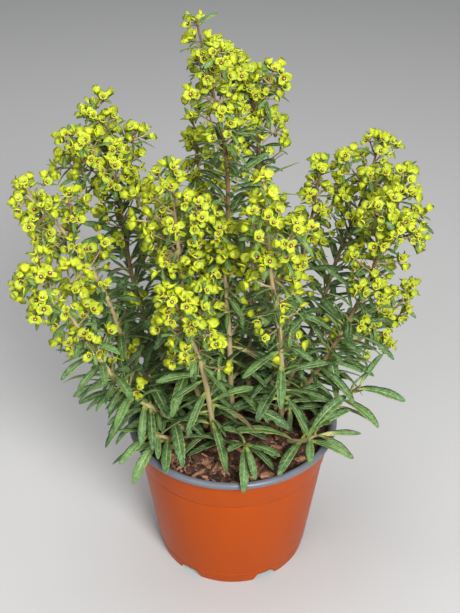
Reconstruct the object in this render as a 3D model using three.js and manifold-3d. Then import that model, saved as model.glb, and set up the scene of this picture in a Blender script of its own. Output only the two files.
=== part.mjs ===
// A euphorbia in flower, in a round nursery pot of bark compost.
// Millimetres, +Z up. The origin is the middle of the pot's foot, on the surface it stands on.
import * as THREE from "three";
import Module from "manifold-3d";

const wasm = await Module();
wasm.setup();

// ---------------------------------------------------------------- driving dimensions
const DEGREE = Math.PI / 180;
const GAP = 0.3; // running gap between pieces that touch

const POT_HEIGHT = 147;
const RIM_RADIUS = 95;
const RIM_DEPTH = 5.5; // height of the rolled rim
const WALL_TOP_RADIUS = 89.8;
const COLLAR_HEIGHT = 113; // where the collar steps out from the wall
const COLLAR_STEP = 0.9;
const FOOT_HEIGHT = 10;
const FOOT_RADIUS = 69.5;
const FOOT_RECESS = 0.8;
const WALL_THICKNESS = 1.5;
const FLOOR_UNDERSIDE = 3.5;
const FLOOR_THICKNESS = 2;
const POT_SIDES = 36;
const NOTCH_COUNT = 6; // drainage cut-outs in the foot
const NOTCH_TURN = -4; // degrees from the front to the middle between two notches
const NOTCH_WIDTH = 22.5;
const NOTCH_TOP_WIDTH = 14.5;
const NOTCH_HEIGHT = 8;

const SOIL_LEVEL = 136;
const BARK_SECTORS = POT_SIDES / 2; // the compost's surface is broken up into bark-sized facets
const BARK_RINGS = 4;
const BARK_ROUGHNESS = 2.8;
const BARK_RING_SPACING = 7.5;

const STEM_FOOT_RADIUS = 2.4;
const STEM_TIP_RADIUS = 1.1;
const STEM_SIDES = 5;
const LEAFY_LENGTHS = 4; // straight lengths in the leafy part of a stem, and in its head
const HEAD_LENGTHS = 3;
const STEM_DEPTH = 13; // how deep a stem stands in the compost
const HOLE_CLEARANCE = 0.5;

const GOLDEN_ANGLE = 137.508;
const LEAF_LENGTH = 56;
const LEAF_WIDTH_RATIO = 0.215;
const LEAF_NECK = 0.22; // where along its length the blade begins to widen
const LEAF_BELLY = 0.62; // where it is widest
const LEAF_NECK_WIDTH = 0.58; // of the full width
const MIDRIB_DEPTH = 1.3; // the keel that the midrib makes under the blade
const ROOT_DEPTH = 1.2; // how far past the middle of its stem a leaf or a pedicel is rooted
const LEAF_DROOP = 62; // degrees that the lowest leaf of a stem bends down by
const DROOP_LOSS = 28; // how much less the highest one does
const LENGTH_LOSS = 0.34; // how much shorter the highest one is

const CUP_RADIUS = 5.8; // half the width of one flower cup
const CUP_TIP = 7.4; // from the cup's middle to the point of its bract
const CUP_LENGTH = 7.8; // from the fork of the spray to the rim of the cup
const CUP_HOLLOW = 3.6;
const CUP_SPREAD = 46; // degrees between a cup and its pedicel
const PEDICEL_RADIUS = 1.3; // at the fork, under the cups
const SHORTEST_PEDICEL = 6;
const SPRAY_RISE = 28; // degrees above square to the stem at the foot of a head
const SPRAY_RISE_GAIN = 50; // how much steeper at its tip
const SPRAY_LENGTH_LOSS = 0.6; // how much less the sprays at its tip reach

// Each flowering stem: its route from the compost to its tip, and where its flower head begins,
// as a share of the route. A head has so many sprays, and its lowest reach out so far.
const FLOWERING_STEMS = [
  { name: "tall", head: 0.66, sprays: 13, reach: 21, leaves: 14,
    route: [[-2, 2, 136], [-3, 4, 248], [-4, 6, 335], [-5, 8, 396], [-15, 10, 450], [-28, 12, 510]] },
  { name: "second", head: 0.62, sprays: 13, reach: 26, leaves: 13,
    route: [[14, 12, 136], [15, 22, 224], [18, 36, 297], [21, 48, 378], [15, 57, 425], [-6, 60, 460]] },
  { name: "left_upper", head: 0.6, sprays: 14, reach: 31, leaves: 13,
    route: [[-22, 10, 136], [-61, 12, 198], [-83, 22, 261], [-92, 31, 325],
      [-99, 36, 371], [-107, 42, 427]] },
  { name: "far_left", head: 0.6, sprays: 13, reach: 27, leaves: 13,
    route: [[-38, 2, 136], [-70, -8, 180], [-91, -14, 232], [-105, -17, 288],
      [-133, -19, 347], [-166, -20, 388]] },
  { name: "left_lower", head: 0.6, sprays: 11, reach: 23, leaves: 12,
    route: [[-32, -22, 136], [-60, -34, 174], [-88, -46, 208], [-112, -65, 268],
      [-129, -78, 319], [-150, -85, 350]] },
  { name: "back_middle", head: 0.66, sprays: 9, reach: 18, leaves: 10,
    route: [[-8, 24, 136], [-15, 36, 190], [-24, 62, 262], [-29, 84, 334], [-33, 98, 383]] },
  { name: "middle_left", head: 0.6, sprays: 15, reach: 29, leaves: 13,
    route: [[-24, -8, 136], [-36, -26, 232], [-40, -38, 309], [-42, -45, 361], [-44, -48, 408]] },
  { name: "middle", head: 0.6, sprays: 11, reach: 19, leaves: 11,
    route: [[2, -8, 136], [-1, -18, 188], [-3, -34, 262], [-6, -44, 323], [-9, -48, 368]] },
  { name: "front_left", head: 0.56, sprays: 13, reach: 26, leaves: 13,
    route: [[-16, -28, 136], [-18, -42, 179], [-24, -76, 256], [-33, -97, 306], [-44, -108, 346]] },
  { name: "front_right", head: 0.52, sprays: 16, reach: 27, leaves: 13,
    route: [[44, -7, 136], [42, -28, 202], [38, -50, 268], [28, -78, 348], [22, -92, 422]] },
  { name: "right_middle", head: 0.6, sprays: 11, reach: 19, leaves: 11,
    route: [[27, 12, 136], [46, 34, 196], [62, 60, 270], [70, 76, 310], [77, 88, 354]] },
  { name: "right_tall", head: 0.62, sprays: 12, reach: 26, leaves: 12,
    route: [[38, 14, 136], [70, 36, 206], [94, 65, 274], [113, 82, 320], [129, 97, 378]] },
  { name: "right", head: 0.58, sprays: 14, reach: 29, leaves: 13,
    route: [[40, 2, 136], [72, 4, 186], [102, 7, 250], [123, 8, 318], [135, 8, 374]] },
  { name: "far_right", head: 0.62, sprays: 9, reach: 17, leaves: 11,
    route: [[44, 20, 136], [72, 30, 166], [108, 46, 187], [142, 59, 212], [164, 65, 240]] },
  { name: "back_left", head: 0.6, sprays: 10, reach: 23, leaves: 11,
    route: [[-20, 26, 136], [-40, 58, 190], [-56, 86, 248], [-66, 104, 300]] },
  { name: "back_right", head: 0.6, sprays: 10, reach: 22, leaves: 11,
    route: [[14, 34, 136], [24, 64, 188], [34, 90, 252], [42, 106, 306]] },
];

// Young shoots without flowers, low round the crown.
const LEAFY_SHOOTS = [
  { name: "left", leaves: 11, route: [[-50, -10, 136], [-78, -4, 160], [-104, -10, 186]] },
  { name: "left_back", leaves: 11, route: [[-44, 18, 136], [-74, 36, 168], [-96, 54, 206]] },
  { name: "front_left", leaves: 10, route: [[-42, -34, 136], [-54, -44, 154], [-70, -58, 172]] },
  { name: "front", leaves: 10, route: [[10, -28, 136], [10, -46, 150], [12, -62, 162]] },
  { name: "front_right", leaves: 10, route: [[50, -26, 136], [62, -44, 152], [72, -54, 168]] },
  { name: "right", leaves: 11, route: [[66, -6, 136], [88, -10, 162], [112, -14, 190]] },
  { name: "right_back", leaves: 11, route: [[42, 34, 136], [68, 52, 166], [88, 66, 202]] },
  { name: "back", leaves: 11, route: [[-4, 44, 136], [-8, 62, 176], [-10, 76, 216]] },
];

// ---------------------------------------------------------------- materials
const potPlastic = new THREE.MeshStandardMaterial({ color: 0xc04f22, roughness: 0.45, metalness: 0 });
const barkCompost = new THREE.MeshStandardMaterial({ color: 0x5a3527, roughness: 0.95, metalness: 0 });
const leafGreen = new THREE.MeshStandardMaterial({ color: 0x47703f, roughness: 0.6, metalness: 0 });
const bractYellow = new THREE.MeshStandardMaterial({ color: 0xc6d427, roughness: 0.55, metalness: 0 });

// ---------------------------------------------------------------- solids
function solidFrom(points, triangles) {
  const vertProperties = new Float32Array(points.flatMap((p) => [p.x, p.y, p.z]));
  const triVerts = new Uint32Array(triangles.flat());
  return new wasm.Manifold(new wasm.Mesh({ numProp: 3, vertProperties, triVerts }));
}

function geometryFrom(solid) {
  const mesh = solid.getMesh();
  const geometry = new THREE.BufferGeometry();
  geometry.setAttribute("position", new THREE.BufferAttribute(mesh.vertProperties, 3));
  geometry.setIndex(new THREE.BufferAttribute(mesh.triVerts, 1));
  geometry.computeVertexNormals();
  return geometry;
}

// The biggest body of a solid, without any scrap that a cut left loose.
function mainBody(solid) {
  const bodies = solid.decompose();
  return bodies.reduce((best, body) => (body.volume() > best.volume() ? body : best));
}

// Rings of points joined into one closed skin. A ring may be a single point.
function skin(rings) {
  const points = rings.flat();
  const starts = rings.map((_, i) => rings.slice(0, i).reduce((sum, ring) => sum + ring.length, 0));
  const triangles = [];
  const capRing = (i, flip) => {
    for (let k = 2; k < rings[i].length; k += 1) {
      const [a, b, c] = [starts[i], starts[i] + k - 1, starts[i] + k];
      triangles.push(flip ? [a, c, b] : [a, b, c]);
    }
  };
  capRing(0, true);
  for (let i = 0; i + 1 < rings.length; i += 1) {
    joinRings(triangles, starts[i], rings[i].length, starts[i + 1], rings[i + 1].length);
  }
  capRing(rings.length - 1, false);
  return solidFrom(points, triangles);
}

// The band of triangles between two rings that run the same way round.
function joinRings(triangles, startA, countA, startB, countB) {
  let [a, b] = [0, 0];
  const stepsA = countA === 1 ? 0 : countA;
  const stepsB = countB === 1 ? 0 : countB;
  while (a < stepsA || b < stepsB) {
    const advanceA = b >= stepsB || (a < stepsA && (a + 1) * stepsB <= (b + 1) * stepsA);
    if (advanceA) {
      triangles.push([startA + (a % countA), startA + ((a + 1) % countA), startB + (b % countB)]);
      a += 1;
    } else {
      triangles.push([startA + (a % countA), startB + ((b + 1) % countB), startB + (b % countB)]);
      b += 1;
    }
  }
}

// A solid turned round the Z axis from [radius, height] points, which run up the outside
// and come back down the inside. Its first and last points lie on the axis.
function turned(profile, sides) {
  const rings = profile.map(([radius, height]) => {
    if (radius === 0) return [new THREE.Vector3(0, 0, height)];
    return Array.from({ length: sides }, (_, i) => {
      const angle = (i * 2 * Math.PI) / sides;
      return new THREE.Vector3(radius * Math.cos(angle), radius * Math.sin(angle), height);
    });
  });
  return skin(rings);
}

// Repeatable random numbers, one row of them for each seed.
function randomRow(seed) {
  let state = 7919 * seed + 17;
  return (low, high) => {
    state = (state * 16807) % 2147483647;
    return low + ((high - low) * state) / 2147483647;
  };
}

// ---------------------------------------------------------------- pot
function wallRadius(height) {
  const slope = (WALL_TOP_RADIUS - COLLAR_STEP - FOOT_RADIUS - FOOT_RECESS) / (POT_HEIGHT - RIM_DEPTH);
  return FOOT_RADIUS + FOOT_RECESS + slope * height;
}

function innerRadius(height) {
  return wallRadius(height) - WALL_THICKNESS;
}

function makePot() {
  const rimUnderside = POT_HEIGHT - RIM_DEPTH;
  const floorTop = FLOOR_UNDERSIDE + FLOOR_THICKNESS;
  const shell = turned([
    [0, FLOOR_UNDERSIDE],
    [FOOT_RADIUS - 3.5, FLOOR_UNDERSIDE],
    [FOOT_RADIUS - 2.8, 0],
    [FOOT_RADIUS, 0],
    [wallRadius(FOOT_HEIGHT) - FOOT_RECESS, FOOT_HEIGHT],
    [wallRadius(FOOT_HEIGHT), FOOT_HEIGHT + 0.4],
    [wallRadius(COLLAR_HEIGHT), COLLAR_HEIGHT],
    [wallRadius(COLLAR_HEIGHT) + COLLAR_STEP, COLLAR_HEIGHT + 0.8],
    [WALL_TOP_RADIUS, rimUnderside],
    [RIM_RADIUS - 0.9, rimUnderside],
    [RIM_RADIUS, rimUnderside + 1.6],
    [RIM_RADIUS, POT_HEIGHT - 1.7],
    [RIM_RADIUS - 1.7, POT_HEIGHT],
    [RIM_RADIUS - 4.6, POT_HEIGHT],
    [innerRadius(POT_HEIGHT - 4), POT_HEIGHT - 4],
    [innerRadius(floorTop), floorTop],
    [0, floorTop],
  ], POT_SIDES);
  let pot = shell;
  for (let i = 0; i < NOTCH_COUNT; i += 1) {
    const angle = (-90 + NOTCH_TURN + (360 / NOTCH_COUNT) * (i + 0.5)) * DEGREE;
    pot = pot.subtract(makeNotch(angle));
  }
  return pot;
}

// One drainage cut-out: a trapezium, wider at the foot, pushed out through the foot and the floor's edge.
function makeNotch(angle) {
  const outline = new THREE.Shape([
    new THREE.Vector2(-NOTCH_WIDTH / 2 - 1, -1),
    new THREE.Vector2(NOTCH_WIDTH / 2 + 1, -1),
    new THREE.Vector2(NOTCH_TOP_WIDTH / 2, NOTCH_HEIGHT),
    new THREE.Vector2(-NOTCH_TOP_WIDTH / 2, NOTCH_HEIGHT),
  ]);
  const corners = outline.getPoints();
  const outwards = new THREE.Vector3(Math.cos(angle), Math.sin(angle), 0);
  const sideways = new THREE.Vector3(-Math.sin(angle), Math.cos(angle), 0);
  const ringAt = (radius) =>
    corners.map((corner) =>
      outwards.clone().multiplyScalar(radius).addScaledVector(sideways, corner.x).setZ(corner.y));
  return skin([ringAt(FOOT_RADIUS - 8), ringAt(FOOT_RADIUS + 8)]);
}

// ---------------------------------------------------------------- stems
// A stem's line: a smooth curve through its route, taken as straight lengths from one stop to
// the next. The first length runs straight down into the compost.
function stemLine(route, head) {
  const curve = new THREE.CatmullRomCurve3(route.map((p) => new THREE.Vector3(...p)), false, "catmullrom", 0.5);
  const shares = evenShares(0, head, LEAFY_LENGTHS).slice(1);
  if (head < 1) shares.push(...evenShares(head, 1, HEAD_LENGTHS).slice(1));
  const stops = shares.map((share) => ({ share, point: curve.getPoint(share) }));
  const first = stops[0];
  const foot = new THREE.Vector3(...route[0]);
  const sunk = first.point.clone().lerp(foot, 1 + STEM_DEPTH / (first.point.z - foot.z));
  const sunkShare = (-first.share * STEM_DEPTH) / (first.point.z - foot.z);
  return [{ share: sunkShare, point: sunk }, ...stops];
}

function evenShares(from, to, steps) {
  return Array.from({ length: steps + 1 }, (_, i) => from + ((to - from) * i) / steps);
}

function directionAt(line, i) {
  const [before, after] = [line[Math.max(i - 1, 0)], line[Math.min(i + 1, line.length - 1)]];
  return after.point.clone().sub(before.point).normalize();
}

// The point and direction of a stem at a share of its route, with two directions square to it.
function stemFrame(line, share) {
  let i = 1;
  while (i < line.length - 1 && line[i].share < share) i += 1;
  const [from, to] = [line[i - 1], line[i]];
  const part = (share - from.share) / (to.share - from.share);
  const point = from.point.clone().lerp(to.point, part);
  const along = directionAt(line, i - 1).lerp(directionAt(line, i), part).normalize();
  const across = new THREE.Vector3(0, 1, 0).cross(along).normalize();
  const other = along.clone().cross(across);
  return { point, along, across, other };
}

function stemRadius(share) {
  return STEM_FOOT_RADIUS + (STEM_TIP_RADIUS - STEM_FOOT_RADIUS) * Math.max(share, 0);
}

function stemRing(line, share, radius) {
  const { point, across, other } = stemFrame(line, share);
  return Array.from({ length: STEM_SIDES }, (_, i) => {
    const angle = (i * 2 * Math.PI) / STEM_SIDES;
    return point.clone()
      .addScaledVector(across, radius * Math.cos(angle))
      .addScaledVector(other, radius * Math.sin(angle));
  });
}

// A length of stem from one share of its route to another, with a ring at each stop between.
function stemTube(line, from, to, extra = 0) {
  const between = line.map((stop) => stop.share).filter((share) => share > from && share < to - 0.001);
  const shares = [from, ...between, to];
  return skin(shares.map((share) => stemRing(line, share, stemRadius(share) + extra)));
}

function lineLength(line) {
  return line.slice(1).reduce((sum, stop, i) => sum + stop.point.distanceTo(line[i].point), 0);
}

// ---------------------------------------------------------------- leaves
// A leaf leaves its stem along "start" and bends down under its own weight by "droop" degrees.
// It gives the middle of the leaf at a share of its length, with its upward normal there.
function leafMidline(leaf, share) {
  const bend = leaf.droop * DEGREE;
  const rise = Math.asin(THREE.MathUtils.clamp(leaf.start.z, -0.98, 0.98));
  const heading = leaf.start.clone().setZ(0).normalize();
  const angle = rise - bend * share;
  const out = (leaf.length / bend) * (Math.sin(rise) - Math.sin(angle));
  const up = (leaf.length / bend) * (Math.cos(angle) - Math.cos(rise));
  const point = leaf.root.clone().addScaledVector(heading, out);
  point.z += up;
  const normal = heading.clone().multiplyScalar(-Math.sin(angle)).setZ(Math.cos(angle));
  const side = new THREE.Vector3(0, 0, 1).cross(heading);
  return { point, normal, side };
}

function leafHalfWidth(leaf) {
  return (leaf.length * LEAF_WIDTH_RATIO) / 2;
}

// Three points round a leaf: one edge, the other edge, and the keel of the midrib below them.
function leafSection(leaf, share, halfWidth, depth) {
  const { point, normal, side } = leafMidline(leaf, share);
  return [
    point.clone().addScaledVector(side, halfWidth),
    point.clone().addScaledVector(side, -halfWidth),
    point.clone().addScaledVector(normal, -depth),
  ];
}

function makeLeaf(leaf) {
  const half = leafHalfWidth(leaf);
  return skin([
    [leaf.root.clone().addScaledVector(leaf.start, -ROOT_DEPTH)],
    leafSection(leaf, LEAF_NECK, half * LEAF_NECK_WIDTH, MIDRIB_DEPTH * 1.4),
    leafSection(leaf, LEAF_BELLY, half, MIDRIB_DEPTH),
    [leafMidline(leaf, 1).point],
  ]);
}

// ---------------------------------------------------------------- flower sprays
// A spray is a thin pedicel that ends in two to four flowers, each a cup of joined bracts.
// Two directions square to the pedicel.
function crossAxes(axis) {
  const aside = new THREE.Vector3(0, 0, 1).cross(axis).normalize();
  return { aside, over: axis.clone().cross(aside) };
}

// For each cup: the middle of its rim, the way it faces, the way its bract points, and its sideways.
function sprayCups(spray) {
  const { aside, over } = crossAxes(spray.start);
  const fork = sprayFork(spray);
  return Array.from({ length: spray.cups }, (_, i) => {
    const turn = (spray.twist + (360 / spray.cups) * i) * DEGREE;
    const away = aside.clone().multiplyScalar(Math.cos(turn)).addScaledVector(over, Math.sin(turn));
    const facing = spray.start.clone()
      .multiplyScalar(Math.cos(CUP_SPREAD * DEGREE))
      .addScaledVector(away, Math.sin(CUP_SPREAD * DEGREE));
    const outward = away.clone()
      .multiplyScalar(Math.cos(CUP_SPREAD * DEGREE))
      .addScaledVector(spray.start, -Math.sin(CUP_SPREAD * DEGREE));
    const sideways = spray.start.clone().cross(away);
    return { rim: fork.clone().addScaledVector(facing, CUP_LENGTH), facing, outward, sideways };
  });
}

function sprayFork(spray) {
  return spray.root.clone().addScaledVector(spray.start, spray.length);
}

function pedicelEnd(spray) {
  const { aside, over } = crossAxes(spray.start);
  return [0, 120, 240].map((angle) => {
    const turn = (spray.twist - 30 + angle) * DEGREE;
    return sprayFork(spray)
      .addScaledVector(aside, PEDICEL_RADIUS * Math.cos(turn))
      .addScaledVector(over, PEDICEL_RADIUS * Math.sin(turn));
  });
}

function makeSpray(spray) {
  const cups = sprayCups(spray);
  const half = CUP_RADIUS * (spray.cups === 4 ? 0.86 : 1);
  const root = spray.root.clone().addScaledVector(spray.start, -ROOT_DEPTH);
  const rim = cups.flatMap((cup) => [
    cup.rim.clone().addScaledVector(cup.sideways, -half),
    cup.rim.clone().addScaledVector(cup.outward, CUP_TIP),
    cup.rim.clone().addScaledVector(cup.sideways, half),
  ]);
  const hollows = cups.map((cup) => cup.rim.clone().addScaledVector(cup.facing, -CUP_HOLLOW));
  const middle = sprayFork(spray).addScaledVector(spray.start, CUP_LENGTH);
  const points = [root, ...pedicelEnd(spray), ...rim, ...hollows, middle];
  const [endAt, rimAt, hollowAt, middleAt] = [1, 4, 4 + rim.length, 4 + rim.length + hollows.length];
  const triangles = [];
  joinRings(triangles, 0, 1, endAt, 3);
  joinRings(triangles, endAt, 3, rimAt, rim.length);
  cups.forEach((_, i) => {
    const left = rimAt + 3 * i;
    const [tip, right, hollow] = [left + 1, left + 2, hollowAt + i];
    const next = rimAt + ((3 * i + 3) % rim.length);
    triangles.push([left, tip, hollow], [tip, right, hollow], [right, middleAt, hollow], [middleAt, left, hollow]);
    triangles.push([right, next, middleAt]);
  });
  return solidFrom(points, triangles);
}

// ---------------------------------------------------------------- keeping pieces apart
// Every leaf, stem and flower is stood for by beads. Two pieces are clear of each other
// when none of their beads meet.
const BEAD_CELL = 10;
const beadGrid = new Map();

function cellKey(x, y, z) {
  return [x, y, z].map((place) => Math.floor(place / BEAD_CELL)).join();
}

function addBeads(beads, owner) {
  for (const bead of beads) {
    const key = cellKey(bead.point.x, bead.point.y, bead.point.z);
    if (!beadGrid.has(key)) beadGrid.set(key, []);
    beadGrid.get(key).push({ ...bead, owner });
  }
}

function meetsAnother(bead, ownStem) {
  for (let i = -1; i <= 1; i += 1) {
    for (let j = -1; j <= 1; j += 1) {
      for (let k = -1; k <= 1; k += 1) {
        const { x, y, z } = bead.point;
        const near = beadGrid.get(cellKey(x + i * BEAD_CELL, y + j * BEAD_CELL, z + k * BEAD_CELL));
        for (const other of near ?? []) {
          const reach = bead.radius + other.radius + GAP;
          if (other.owner === ownStem) continue;
          if (bead.point.distanceToSquared(other.point) < reach * reach) return true;
        }
      }
    }
  }
  return false;
}

// Clear of the compost, of the rim and of the pot's wall.
function clearOfPot(bead) {
  const { x, y, z } = bead.point;
  const radius = Math.hypot(x, y);
  if (radius < innerRadius(SOIL_LEVEL) - 3) return z > SOIL_LEVEL + 4 + bead.radius;
  if (radius < RIM_RADIUS + bead.radius + 1) return z > POT_HEIGHT + bead.radius + 0.6;
  return z > POT_HEIGHT - 26;
}

function isClear(beads, ownStem) {
  return beads.every((bead) => clearOfPot(bead) && !meetsAnother(bead, ownStem));
}

function stemBeads(line) {
  const steps = Math.ceil(lineLength(line) / BEAD_SPACING);
  return evenShares(0, 1, steps).map((share) => ({
    point: stemFrame(line, share).point,
    radius: stemRadius(share) + 0.6,
  }));
}

const BLADE_BEAD = 2; // radius of the beads that stand for a blade
const BEAD_SPACING = 2.5;
const ACROSS = [-1, -0.34, 0.34, 1]; // where they lie across it, as a share of its half width

function leafBeads(leaf) {
  const beads = [];
  const half = leafHalfWidth(leaf);
  const stops = [[LEAF_NECK, half * LEAF_NECK_WIDTH], [LEAF_BELLY, half], [1, 0]];
  for (let i = 0; i + 1 < stops.length; i += 1) {
    const [fromShare, fromHalf] = stops[i];
    const [toShare, toHalf] = stops[i + 1];
    const from = leafSection(leaf, fromShare, fromHalf, 0);
    const to = leafSection(leaf, toShare, toHalf, 0);
    const steps = Math.ceil((leaf.length * (toShare - fromShare)) / BEAD_SPACING);
    for (let step = 0; step <= steps; step += 1) {
      const edgeA = from[0].clone().lerp(to[0], step / steps);
      const edgeB = from[1].clone().lerp(to[1], step / steps);
      for (const across of ACROSS) {
        beads.push({ point: edgeA.clone().lerp(edgeB, (across + 1) / 2), radius: BLADE_BEAD });
      }
    }
  }
  return beads;
}

function sprayBeads(spray) {
  const beads = [];
  for (let along = 3.5; along < spray.length; along += 2) {
    beads.push({ point: spray.root.clone().addScaledVector(spray.start, along), radius: 1 });
  }
  for (const cup of sprayCups(spray)) {
    beads.push({ point: cup.rim.clone().addScaledVector(cup.facing, -1), radius: CUP_RADIUS });
  }
  return beads;
}

// ---------------------------------------------------------------- growth
// The direction in which a leaf or spray leaves its stem: "rise" degrees above square to the stem.
function startDirection(frame, azimuth, rise) {
  return frame.across.clone()
    .multiplyScalar(Math.cos(azimuth * DEGREE))
    .addScaledVector(frame.other, Math.sin(azimuth * DEGREE))
    .multiplyScalar(Math.cos(rise * DEGREE))
    .addScaledVector(frame.along, Math.sin(rise * DEGREE));
}

// Tries a piece as it would grow, then turned, tilted and shortened, until it is clear of the rest.
function grow(build, beadsOf, stem, lengths) {
  for (const shorter of lengths) {
    for (const tilt of [0, 14, -14]) {
      for (const turn of [0, 20, -20, 40, -40]) {
        const piece = build(turn, tilt, shorter);
        const beads = beadsOf(piece);
        if (isClear(beads, stem.id)) {
          addBeads(beads, `${stem.id}:${piece.kind}`);
          return piece;
        }
      }
    }
  }
  return null;
}

// The sprays of one flower head, from its foot to its tip.
function growHead(stem) {
  const draw = randomRow(stem.seed);
  const phase = draw(0, 360);
  const sprays = [];
  for (let i = 0; i < stem.sprays; i += 1) {
    const up = i / (stem.sprays - 1);
    const share = stem.head + 0.015 + (1 - stem.head - 0.02) * up;
    const frame = stemFrame(stem.line, share);
    const azimuth = phase + GOLDEN_ANGLE * i + draw(-12, 12);
    const rise = SPRAY_RISE + SPRAY_RISE_GAIN * up * up + draw(-8, 8);
    const reach = stem.reach * (1 - SPRAY_LENGTH_LOSS * up * up) - CUP_LENGTH + 3;
    const length = Math.max(SHORTEST_PEDICEL, reach + draw(-4, 3));
    const cups = Math.round(draw(2.2, 4.1));
    const twist = draw(0, 360);
    const build = (turn, tilt, shorter) => ({
      kind: "spray",
      root: frame.point,
      start: startDirection(frame, azimuth + turn, Math.min(rise + tilt, 88)),
      length: length * shorter,
      cups,
      twist,
    });
    const spray = grow(build, sprayBeads, stem, [1, 0.8, 1.2, 0.6]);
    if (spray) sprays.push(spray);
  }
  return sprays;
}

// The leaves of one stem, from the compost up to the flower head, or to the tip of a leafy shoot.
function growLeaves(stem) {
  const draw = randomRow(stem.seed + 50);
  const phase = draw(0, 360);
  const leaves = [];
  for (let i = 0; i < stem.leaves; i += 1) {
    const up = i / (stem.leaves - 1);
    const share = stem.leafFrom + (stem.leafTo - stem.leafFrom) * up;
    const frame = stemFrame(stem.line, share);
    const azimuth = phase + GOLDEN_ANGLE * i + draw(-14, 14);
    const rise = stem.leafRise[0] + (stem.leafRise[1] - stem.leafRise[0]) * up + draw(-8, 8);
    const droop = LEAF_DROOP - DROOP_LOSS * up + draw(-10, 14);
    const length = LEAF_LENGTH * (1.06 - LENGTH_LOSS * up) * draw(0.86, 1.12);
    const build = (turn, tilt, shorter) => ({
      kind: "leaf",
      root: frame.point,
      start: startDirection(frame, azimuth + turn, Math.min(rise + tilt, 80)),
      length: length * shorter,
      droop,
    });
    const leaf = grow(build, leafBeads, stem, [1, 0.85, 0.7]);
    if (leaf) leaves.push(leaf);
  }
  return leaves;
}

// ---------------------------------------------------------------- the plant
const stems = [
  ...FLOWERING_STEMS.map((stem) => ({ ...stem, leafFrom: 0.1, leafTo: stem.head - 0.03, leafRise: [22, 34] })),
  ...LEAFY_SHOOTS.map((stem) => ({ ...stem, head: 1, sprays: 0, leafFrom: 0.2, leafTo: 0.99, leafRise: [20, 60] })),
];
// A seed for each, and its beads, before anything grows on it.
stems.forEach((stem, i) => {
  stem.id = `stem ${i}`;
  stem.seed = i + 1;
  stem.line = stemLine(stem.route, stem.head);
  addBeads(stemBeads(stem.line), stem.id);
});
for (const stem of stems) stem.sprayList = stem.sprays ? growHead(stem) : [];
for (const stem of stems) stem.leafList = growLeaves(stem);

function makeStem(stem) {
  const foot = stem.line[0].share * 0.96;
  const tube = stemTube(stem.line, foot, stem.head === 1 ? 1 : stem.head);
  return mainBody(wasm.Manifold.union([tube, ...stem.leafList.map(makeLeaf)]));
}

// The flower head's own stalk starts a little above the leafy stem's end.
function makeHead(stem) {
  const start = stem.head + (1.3 * GAP) / lineLength(stem.line);
  return mainBody(wasm.Manifold.union([stemTube(stem.line, start, 1), ...stem.sprayList.map(makeSpray)]));
}

// ---------------------------------------------------------------- compost
// The compost fills the pot. Its top is a low mound, broken up like coarse bark where it shows.
function makeCompost() {
  const draw = randomRow(400);
  const floor = FLOOR_UNDERSIDE + FLOOR_THICKNESS + GAP;
  const ringAt = (radius, height, rough) => Array.from({ length: BARK_SECTORS }, (_, i) => {
    const angle = ((i + draw(-0.35, 0.35) * rough) * 2 * Math.PI) / BARK_SECTORS;
    const out = radius + draw(-2.5, 2.5) * rough;
    return new THREE.Vector3(
      out * Math.cos(angle), out * Math.sin(angle), height + draw(-BARK_ROUGHNESS, BARK_ROUGHNESS) * rough);
  });
  const edge = innerRadius(SOIL_LEVEL - 1) - GAP;
  const rings = [[new THREE.Vector3(0, 0, floor)], ringAt(innerRadius(floor) - GAP, floor, 0)];
  rings.push(ringAt(edge, SOIL_LEVEL - 1, 0));
  for (let i = 1; i <= BARK_RINGS; i += 1) rings.push(ringAt(edge - BARK_RING_SPACING * i, SOIL_LEVEL, 1));
  rings.push([new THREE.Vector3(0, 0, SOIL_LEVEL + 3)]);
  let compost = skin(rings);
  for (const stem of stems) {
    const top = stem.line[1].share;
    compost = compost.subtract(stemTube(stem.line, stem.line[0].share, top, HOLE_CLEARANCE));
  }
  return mainBody(compost);
}

// ---------------------------------------------------------------- assembly
const euphorbia = new THREE.Group();

function addPiece(name, solid, material) {
  const piece = new THREE.Mesh(geometryFrom(solid), material);
  piece.name = name;
  euphorbia.add(piece);
}

addPiece("pot", makePot(), potPlastic);
addPiece("compost", makeCompost(), barkCompost);
for (const stem of stems) {
  const flowering = stem.sprays > 0;
  addPiece(flowering ? `stem_${stem.name}` : `leafy_shoot_${stem.name}`, makeStem(stem), leafGreen);
  if (flowering) addPiece(`flower_head_${stem.name}`, makeHead(stem), bractYellow);
}

export default euphorbia;
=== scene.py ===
import math

import bmesh
import bpy
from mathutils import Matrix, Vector


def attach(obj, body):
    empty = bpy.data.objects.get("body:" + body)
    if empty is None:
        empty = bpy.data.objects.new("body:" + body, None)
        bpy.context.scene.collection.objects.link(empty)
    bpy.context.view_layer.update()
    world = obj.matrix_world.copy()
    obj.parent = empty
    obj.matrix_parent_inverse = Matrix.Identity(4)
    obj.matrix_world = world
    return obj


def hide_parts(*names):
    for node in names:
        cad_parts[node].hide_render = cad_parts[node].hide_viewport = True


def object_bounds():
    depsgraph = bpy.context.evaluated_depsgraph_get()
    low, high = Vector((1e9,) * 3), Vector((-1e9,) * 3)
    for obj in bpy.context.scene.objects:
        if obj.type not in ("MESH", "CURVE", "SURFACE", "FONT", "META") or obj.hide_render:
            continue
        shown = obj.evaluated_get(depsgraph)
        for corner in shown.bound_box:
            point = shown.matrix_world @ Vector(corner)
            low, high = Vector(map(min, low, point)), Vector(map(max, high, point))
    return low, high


bl_info = {
    "name": "Potted euphorbia",
    "version": (1, 0, 0),
    "blender": (4, 5, 0),
    "location": "3D View > Sidebar > Euphorbia",
    "description": "A euphorbia in flower, in a round nursery pot of bark compost",
    "category": "Object",
}

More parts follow.
